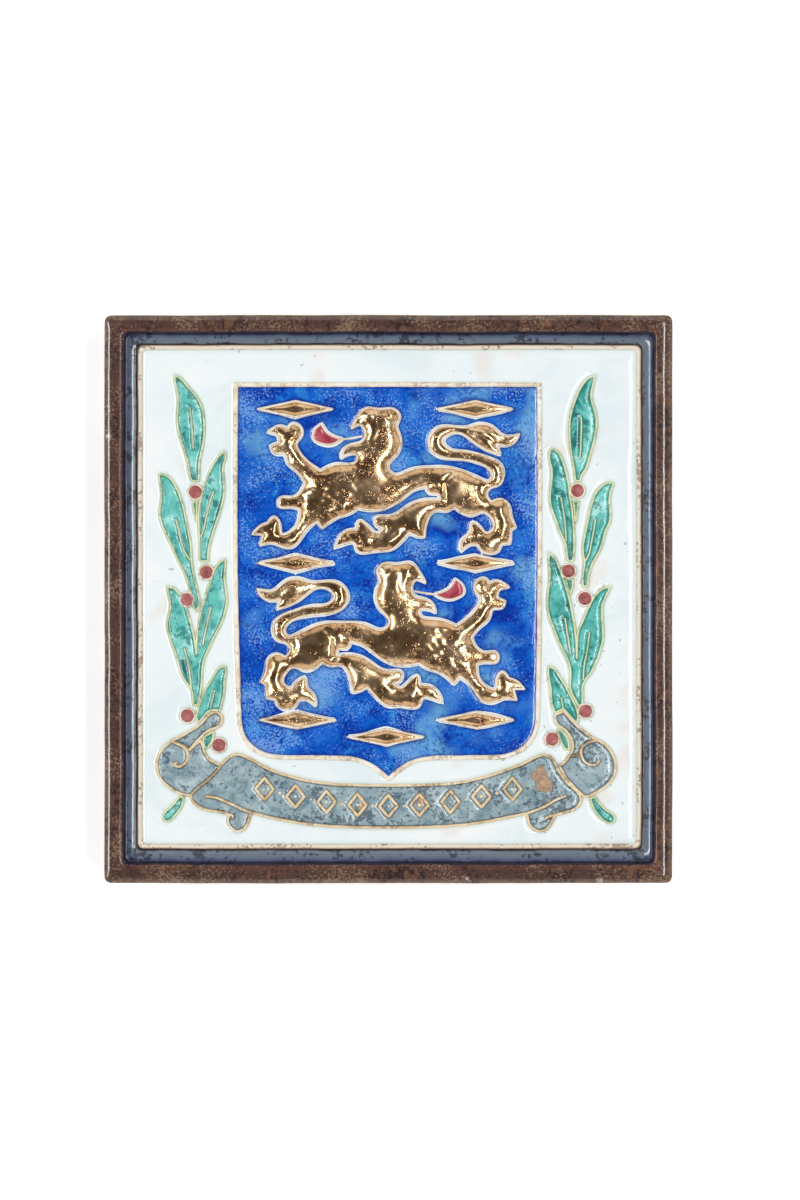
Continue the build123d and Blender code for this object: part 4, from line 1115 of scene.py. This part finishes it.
# %% [markdown]
# ## Laying the lines
#
# The mould maker cut the shield's line widest, the ribbon's next and the rest fine. Glaze runs over the
# clay and stains it, so the lines of the leaves are greenish and those of the ribbon golden. Every set of
# lines is one piece, laid by the same tree with its own width, height and seed.

# %% Lay the lines
LINE_LEVEL = 10.75
FIRST_SEED = 2
ribbon_lines = [line for part in ribbon_parts.values() for line in part]
tongue_roots = [stroke(TONGUE_ROOT), stroke(lowered(TONGUE_ROOT))]
# name, lines, width, height, how far above the other lines, closed or open, clay
CLAY_LINES = [
    ("shield_line", [shield], 0.9, 0.34, 0.0, True, line_clay),
    ("lion_lines", list(lions.values()), 0.46, 0.38, 0.0, True, line_clay),
    ("lozenge_lines", lozenges, 0.5, 0.4, 0.0, True, line_clay),
    ("tongue_lines", tongues, 0.36, 0.3, 0.0, True, line_clay),
    ("tongue_root_lines", tongue_roots, 0.42, 0.24, 0.0, False, line_clay),
    ("leaf_lines", leaves, 0.42, 0.34, 0.0, True, leaf_clay),
    ("leaf_veins", midribs, 0.34, 0.32, 0.02, False, leaf_clay),
    ("berry_lines", berry_rings, 0.36, 0.3, 0.0, True, line_clay),
    ("ribbon_lines", ribbon_lines, 0.52, 0.38, 0.0, True, ribbon_clay),
    ("curl_lines", curls, 0.56, 0.42, 0.0, False, ribbon_clay),
    ("ornament_lines", ornaments, 0.62, 0.46, 0.0, True, ribbon_clay),
]
pieces = [body]
for seed, (name, lines, width, height, lift, closed, material) in enumerate(CLAY_LINES, FIRST_SEED):
    source = curve_object(name, lines, closed, LINE_LEVEL + lift)
    pieces.append(grow(source, threads, {"Width": width * MM, "Height": height * MM, "Seed": float(seed),
                                         "Unevenness": 0.12, "Material": material}, name))
print(len(CLAY_LINES), "sets of clay lines are laid")

# %% [markdown]
# ## Pools of glaze
#
# A molten glaze creeps away from a dry clay line and stands in the middle of its pool like water on wax. So
# each pool dips at its edge and swells inside. A pool is a triangle mesh with fine rings near its edge,
# where the surface bends, and larger triangles inside. Each point keeps its distance to the nearest line in
# the attribute `edge`, and the height comes from that distance.

# %% Pool meshes
ROW_GAP = 0.866  # rows of a hexagonal grid lie this much of its spacing apart
ON_LINE = 0.02  # a point closer to a line than this lies on it


def nearest(loops, points):
    """Distance from each point to the nearest of the loops."""
    dense = []
    for loop in loops:
        following = np.roll(loop, -1, axis=0)
        for share in (0.0, 0.25, 0.5, 0.75):
            dense.append(loop + (following - loop) * share)
    dense = np.vstack(dense)
    tree = kdtree.KDTree(len(dense))
    for i, (x, y) in enumerate(dense):
        tree.insert((x, y, 0.0), i)
    tree.balance()
    return np.array([tree.find((x, y, 0.0))[2] for x, y in points])


def waves(xy, size, seed):
    """Gentle waves: sums of sines in fixed directions, between -1 and 1."""
    turn = np.random.default_rng(seed)
    total = np.zeros(len(xy))
    for _ in range(7):
        angle, phase, stretched = turn.uniform(0, math.tau), turn.uniform(0, math.tau), turn.uniform(0.6, 1.6)
        total += np.sin((xy @ (math.cos(angle), math.sin(angle))) * math.tau / (size * stretched) + phase)
    return total / 4


def mesh_piece(name, xy, z, faces, material, edge):
    """A mesh piece in metres from millimetres, with the edge distance stored on its points."""
    data = bpy.data.meshes.new(name)
    data.from_pydata(np.column_stack([xy, z]) * MM, [], faces.tolist())
    attribute = data.attributes.new("edge", "FLOAT", "POINT")
    attribute.data.foreach_set("value", np.ascontiguousarray(edge, dtype=np.float32))
    data.shade_smooth()
    data.materials.append(material)
    data.update()
    return added(name, data)


def pool_points(edge, marks, spacing, rings):
    """Points for a pool's mesh: rings beside every line, then a hexagonal grid."""
    loops = [edge] + marks
    beside_points = []
    for loop in loops:
        for distance in rings:
            step = max(1, round(distance / 0.35))
            for sign in (1, -1):
                beside_points.append(beside(loop, sign * distance)[::step])
    beside_points = np.vstack(beside_points)
    beside_points = beside_points[inside(beside_points, edge)]
    gaps = nearest(loops, beside_points)
    kept = np.zeros(len(beside_points), bool)
    for distance in rings:
        kept |= np.abs(gaps - distance) < 0.12 * distance
    low, high = edge.min(0), edge.max(0)
    rows = []
    for i, y in enumerate(np.arange(low[1], high[1], spacing * ROW_GAP)):
        across_row = np.arange(low[0] + (i % 2) * spacing / 2, high[0], spacing)
        rows.append(np.column_stack([across_row, np.full(len(across_row), y)]))
    grid_points = np.vstack(rows)
    grid_points = grid_points + rng.uniform(-0.06, 0.06, grid_points.shape) * spacing
    grid_points = grid_points[inside(grid_points, edge)]
    far = nearest(loops, grid_points) > rings[-1] + 0.45 * spacing
    return np.vstack([beside_points[kept], grid_points[far]])


def crossing_lines(lines, edge):
    """The open lines that cross a pool, each as a closed one of no width that a mesh can follow."""
    crossing = [line for line in lines if inside(line[len(line) // 2][None], edge)[0]]
    return [np.vstack([line, line[-2:0:-1]]) for line in crossing]


def pool(name, edge, marks, height, material, spacing=0.5, rings=(0.12, 0.3, 0.6, 1.0), ribs=(), sink=0.35):
    """A pool of glaze inside edge. Under each mark, where another colour lies, it is sunk out of sight.
    Ribs are clay lines that cross the pool."""
    loops = [edge] + marks + list(ribs)
    xy, faces = triangulate([edge] + marks, pool_points(edge, loops[1:], spacing, rings))
    distance = nearest(loops, xy)
    z = height(xy, distance)
    for mark in marks:
        covered = inside(xy, mark) & (distance > ON_LINE)
        z[covered] -= sink * np.minimum(1, distance[covered] / 0.3)
    print(name, "has", len(faces), "triangles")
    return mesh_piece(name, xy, z, faces, material, distance)


print("waves at the middle:", round(float(waves(np.zeros((1, 2)), 5.0, 1)[0]), 3))

# %% [markdown]
# ## The white ground
#
# The white covers everything between the border and the shapes. It is the thickest glaze and looks soft,
# like cream, so it swells most and over the longest distance. Its mesh follows the drawing's own lines,
# and under each shape it is sunk a little, which is simpler than cutting it out and leaves no gap.

# %% The white ground
BORDER_INSET = 6.95
BORDER_CORNER = 0.9
border = rounded_square(TILE_HALF - BORDER_INSET, BORDER_CORNER)


def white_height(xy, d):
    """The level of the middle, less a steep dip at the line and a long soft one, with two sizes of waves."""
    swell = 11.02 - 0.24 * np.exp(-d / 0.4) - 0.3 * np.exp(-d / 1.9)
    return swell + 0.03 * waves(xy, 9.0, 1) + 0.012 * waves(xy, 3.5, 2)


pieces.append(pool("white_ground", border, [shield] + leaves + berry_rings + ribbon_lines, white_height,
                   white_glaze, spacing=0.75))

# %% [markdown]
# ## The blue field
#
# The blue glaze is runny and lies flatter than the white. It fills the shield round the lions, the lozenges
# and the tongues. The same function makes it, with a lower swell.

# %% The blue field


def blue_height(xy, d):
    """The same, lower and flatter than the white."""
    swell = 10.84 - 0.24 * np.exp(-d / 0.4) - 0.1 * np.exp(-d / 1.5)
    return swell + 0.022 * waves(xy, 7.0, 3) + 0.006 * waves(xy, 2.6, 4)


pieces.append(pool("blue_field", shield, list(lions.values()) + lozenges + tongues, blue_height, blue_glaze,
                   spacing=0.6))

# %% [markdown]
# ## Small pools
#
# Leaves, tongues and the ribbon's parts are small pools, too small for the swell to level out, so they look
# like drops. They could be one mesh with the ground, but a pool of its own keeps each colour sharp at its
# line. The raised veins and curls cross a pool, so the glaze dips along them as well.

# %% Leaves and tongues


def joined(name, objects):
    """Several mesh objects as one piece."""
    mesh = bmesh.new()
    for o in objects:
        mesh.from_mesh(o.data)
    data = objects[0].data
    mesh.to_mesh(data)
    mesh.free()
    for o in objects[1:]:
        bpy.data.objects.remove(o)
    objects[0].name = name
    print(name, "has", len(data.polygons), "faces")
    return objects[0]


def leaf_height(xy, d):
    """A drop with small waves."""
    return 10.7 + 0.36 * (1 - np.exp(-d / 0.5)) + 0.025 * waves(xy, 3.0, 5)


def tongue_height(xy, d):
    """A plain drop."""
    return 10.75 + 0.4 * (1 - np.exp(-d / 0.5))


pieces.append(joined("leaf_pools", [
    pool(f"leaf_{i}", line, [], leaf_height, leaf_glaze, 0.34, (0.15, 0.35), crossing_lines(midribs, line))
    for i, line in enumerate(leaves)]))
pieces.append(joined("tongue_pools", [pool(f"tongue_{i}", line, [], tongue_height, tongue_glaze, 0.2, (0.1,))
                                      for i, line in enumerate(tongues)]))

# %% Ribbon
RIBBON_LEVELS = {"banner": 0.0, "tails": -0.04, "rolls": 0.1}


def ribbon_height(part):
    """The height of one part of the ribbon: each lies at a level of its own."""
    def height(xy, d):
        swell = 10.68 + 0.3 * (1 - np.exp(-d / 0.5)) + 0.2 * (1 - np.exp(-d / 2.2))
        return swell + RIBBON_LEVELS[part] + 0.02 * waves(xy, 4.0, 6)
    return height


ribbon_pools = []
for part, lines in ribbon_parts.items():
    marks = ornaments if part == "banner" else []
    for i, line in enumerate(lines):
        ribbon_pools.append(pool(f"ribbon_{part}_{i}", line, marks, ribbon_height(part), ribbon_glaze, 0.36,
                                 (0.15, 0.35, 0.7), crossing_lines(curls, line), sink=0.0))
pieces.append(joined("ribbon_pools", ribbon_pools))

# %% [markdown]
# ## Gold relief
#
# The lions stand highest. Their bodies are modelled like a coin: a rounded body that rises from its
# outline, with swellings for muscle and pressed strokes for mane, mouth, toes and folds. The rise follows
# the distance to the outline, and a few rounds of smoothing soften the crest where the two sides meet.

# %% Lions
GOLD_SPACING = 0.24
GOLD_EDGE = 10.72  # the outline lies this high
GOLD_RISE = 1.0  # the body rises this much more
GOLD_SLOPE = 0.95  # over about this distance
EDGE_BAND = 0.05  # points this close to the outline are never moved
ROUNDS, LAST_ROUNDS = 14, 2  # of smoothing, before and after the strokes
GOLD_TOP = 11.98  # nothing rises past the rim


def smoothed(z, faces, fixed, rounds):
    """Averages each height with its neighbours', again and again, and leaves the fixed ones alone."""
    pairs = np.vstack([faces[:, [0, 1]], faces[:, [1, 2]], faces[:, [2, 0]]])
    pairs = np.vstack([pairs, pairs[:, ::-1]])
    count = np.bincount(pairs[:, 0], minlength=len(z))
    for _ in range(rounds):
        around = np.bincount(pairs[:, 0], weights=z[pairs[:, 1]], minlength=len(z)) / np.maximum(count, 1)
        z = np.where(fixed, z, 0.35 * z + 0.65 * around)
    return z


def bell(away, width):
    """1 in the middle, falling softly to nothing."""
    return np.exp(-(away / width) ** 2)


def to_stroke(xy, line):
    """Distance from each point to an open line."""
    best = np.full(len(xy), 1e9)
    for p in line:
        best = np.minimum(best, np.hypot(*(xy - p).T))
    return best


def lion_relief(name, line, place):
    """One gold lion. place turns the lion's own drawing into this lion's."""
    def to_centre(centre):
        return np.hypot(*(xy - grid(place([centre]))).T)

    xy, faces = triangulate([line], pool_points(line, [], GOLD_SPACING, (0.1, 0.22, 0.38)))
    distance = nearest([line], xy)
    z = GOLD_EDGE + GOLD_RISE * (1 - np.exp(-distance / GOLD_SLOPE))
    z = smoothed(z, faces, distance < EDGE_BAND, ROUNDS)
    off_edge = np.minimum(1, distance / 0.5)
    for centre, radius, rise in LION_SWELLINGS:
        z += rise * bell(to_centre(centre), radius) * off_edge
    # a stroke presses the gold down in its middle and pushes up a small ridge on both sides
    for points, width, depth in LION_STROKES:
        away = to_stroke(xy, stroke(place(points), 0.12))
        z -= 0.9 * depth * bell(away, 1.25 * width)
        z += 0.35 * depth * bell(away - 2.6 * width, 1.2 * width) * np.minimum(1, distance / 0.6)
    mane = np.zeros(len(xy))
    for centre, radius in LION_MANE:
        mane += bell(to_centre(centre), radius)
    locks = 0.075 * waves(xy, 1.5, 12) + 0.04 * waves(xy, 0.85, 13)
    z += locks * np.minimum(1, mane) * off_edge
    z += (0.012 * waves(xy, 3.0, 8) + 0.002 * waves(xy, 1.2, 9)) * off_edge
    z = smoothed(z, faces, distance < EDGE_BAND, LAST_ROUNDS)
    print(name, "has", len(faces), "triangles and rises to", round(float(z.max()), 2), "mm")
    return mesh_piece(name, xy, np.minimum(z, GOLD_TOP), faces, gold, distance)


pieces.append(lion_relief("lion_upper", lions["upper"], lambda points: points))
pieces.append(lion_relief("lion_lower", lions["lower"], lowered))

# %% [markdown]
# ## Gold lozenges
#
# The lozenges are low roofs with a ridge along the middle. The distance to the outline gives that roof by
# itself: it grows evenly from all four sides and meets in the ridge.

# %% Gold lozenges


def lozenge_height(xy, d):
    """A roof that rises evenly from its sides."""
    return 10.75 + 0.55 * np.minimum(1, d / 0.95) + 0.008 * waves(xy, 1.5, 10)


pieces.append(joined("gold_lozenges", [
    pool(f"lozenge_{i}", line, [], lozenge_height, gold, 0.25, (0.12, 0.3))
    for i, line in enumerate(lozenges)]))

# %% [markdown]
# ## Berries
#
# Every berry is the same low dome, so Geometry Nodes puts one dome on each point of a small point cloud and
# varies its size a little from a fixed seed.

# %% Berries by instancing
berries, given, result = node_tree("berries", [
    ("Radius", FLOAT, BERRY_RADIUS * STEP * MM), ("Rise", FLOAT, 0.4), ("Size Variation", FLOAT, 0.05),
    ("Seed", WHOLE, 4), ("Material", MATERIAL, None)])
dome = put(berries, "GeometryNodeMeshUVSphere", {"Segments": 36, "Rings": 18, "Radius": given["Radius"]})
low = put(berries, "ShaderNodeCombineXYZ", {"X": 1.0, "Y": 1.0, "Z": given["Rise"]})
squat = put(berries, "GeometryNodeTransform", {"Geometry": dome.outputs["Mesh"], "Scale": low.outputs[0]})
cloud_points = put(berries, "GeometryNodeMeshToPoints", {"Mesh": given["Geometry"]})
vary = put(berries, "FunctionNodeRandomValue", {"Seed": given["Seed"]}, data_type="FLOAT")
for name, operation in (("Min", "SUBTRACT"), ("Max", "ADD")):
    socket = next(s for s in vary.inputs if s.name == name and s.enabled)
    berries.links.new(calc(berries, operation, 1.0, given["Size Variation"]), socket)
size = next(s for s in vary.outputs if s.enabled)
planted = put(berries, "GeometryNodeInstanceOnPoints", {"Points": cloud_points.outputs[0],
                                                        "Instance": squat.outputs[0], "Scale": size})
end_tree(berries, planted.outputs[0], given["Material"], result)


def plant(name, places, level, values):
    """Domes of one kind on the given grid places."""
    spots = bpy.data.meshes.new(name + "_spots")
    spots.from_pydata([(x * MM, y * MM, level * MM) for x, y in grid(places)], [], [])
    return grow(added(name + "_source", spots), berries, values, name)


pieces.append(plant("berries", BERRIES, LINE_LEVEL - 0.05, {"Material": berry_glaze}))

# %% [markdown]
# ## Dots of clay on the ribbon
#
# A row of small clay dots stands in and between the ribbon's lozenges. They are the same dome as the
# berries, so the same tree plants them, smaller and rounder and in clay.

# %% Dots between the ornaments
dot_places = ornament_centres[1::2] + ornament_centres[::2]
pieces.append(plant("ribbon_dots", dot_places, LINE_LEVEL + 0.05, {
    "Radius": 0.4 * MM, "Rise": 0.8, "Size Variation": 0.1, "Seed": 9, "Material": ribbon_clay}))
print("dots on the ribbon:", len(dot_places))

# %% [markdown]
# ## Onto the frame
#
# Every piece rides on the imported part's one body and together they stand for its one node, the fired tile.

# %% Attach
for piece in pieces:
    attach(piece, "root")
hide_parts("tile")
print(len(pieces), "pieces,", sum(len(p.data.polygons) for p in pieces), "faces in all")

# %% [markdown]
# ## The table
#
# The photograph has a pure white ground. A white table alone would look grey at its edges, so the camera
# also sees a faint glow in it. The glow lights nothing, and the tile's own shadow stays.

# %% Table
WHITE = (1.0, 1.0, 1.0, 1.0)
bpy.ops.mesh.primitive_plane_add(size=3.0)
table = bpy.context.object
table.name = "table"
table_paint, tree, shader, where = start("table_paint", 0.6)
paper = clouded(tree, where, 8.0, (250, 250, 250), (252, 252, 252), (254, 254, 254))[0]
tree.links.new(paper, shader.inputs["Base Color"])
seen = tree.nodes.new("ShaderNodeLightPath")
glow = put(tree, "ShaderNodeEmission", {"Color": WHITE, "Strength": 0.35})
both = put(tree, "ShaderNodeAddShader", {0: shader.outputs[0], 1: glow.outputs[0]})
chosen = put(tree, "ShaderNodeMixShader", {0: seen.outputs["Is Camera Ray"], 1: shader.outputs[0],
                                           2: both.outputs[0]})
tree.links.new(chosen.outputs[0], tree.nodes["Material Output"].inputs["Surface"])
table.data.materials.append(table_paint)
print("the table is", table.dimensions.x, "m wide")

# %% [markdown]
# ## Lamps
#
# Glaze and gold show their shape by what they mirror. Two narrow strips, one high on the right and one
# lower on the left, draw the thin bright lines along the rim, the pools and the gold. Four large dim walls
# give the flanks of the gold their tan. Straight above it stays dark, which is why the crowns of the lions
# look brown.

# %% Lamps
LAMPS = [
    # name, place, size along the table and up, watts
    ("left strip", (-0.61, 0.02, 0.63), (0.7, 0.075), 3.0),
    ("left wall", (-0.8, 0.0, 0.4), (1.0, 0.5), 1.3),
    ("right strip", (0.34, 0.0, 0.86), (0.8, 0.07), 3.7),
    ("right wall", (0.8, 0.0, 0.42), (1.0, 0.5), 1.4),
    ("front wall", (0.0, -0.8, 0.42), (1.0, 0.5), 1.7),
    ("back wall", (0.05, 0.8, 0.5), (1.0, 0.5), 1.7),
]
for name, place, (long, tall), watts in LAMPS:
    lamp = bpy.data.lights.new(name, "AREA")
    lamp.shape = "RECTANGLE"
    lamp.size, lamp.size_y = long, tall
    lamp.energy = watts
    stand = added(name, lamp)
    stand.location = place
    stand.rotation_euler = (-Vector(place)).to_track_quat("-Z", "Y").to_euler()

world = bpy.data.worlds.new("studio")
bpy.context.scene.world = world
world.use_nodes = True
tree = world.node_tree
tree.nodes.clear()
seen = tree.nodes.new("ShaderNodeLightPath")
room = put(tree, "ShaderNodeBackground", {"Color": (0.12, 0.12, 0.125, 1.0), "Strength": 1.0})
backdrop = put(tree, "ShaderNodeBackground", {"Color": WHITE, "Strength": 1.0})
choice = put(tree, "ShaderNodeMixShader", {0: seen.outputs["Is Camera Ray"], 1: room.outputs[0],
                                           2: backdrop.outputs[0]})
out = tree.nodes.new("ShaderNodeOutputWorld")
tree.links.new(choice.outputs[0], out.inputs["Surface"])

print(len(LAMPS), "lamps of", round(sum(lamp[3] for lamp in LAMPS), 1), "watts in all")

# %% [markdown]
# ## Camera
#
# The camera looks straight down. Its height and lens give the picture the same scale as in the photograph.

# %% Camera
CAMERA_OFF_CENTRE = (2.2, -0.17)  # the photograph shows the tile slightly left of its middle
camera_data = bpy.data.cameras.new("camera")
camera_data.lens = 85
camera_data.sensor_width = 36
camera = added("camera", camera_data)
camera.location = (CAMERA_OFF_CENTRE[0] * MM, CAMERA_OFF_CENTRE[1] * MM,
                   (PICTURE_LEVEL + CAMERA_ABOVE_PICTURE) * MM)
scene = bpy.context.scene
scene.camera = camera
scene.view_settings.view_transform = "Standard"
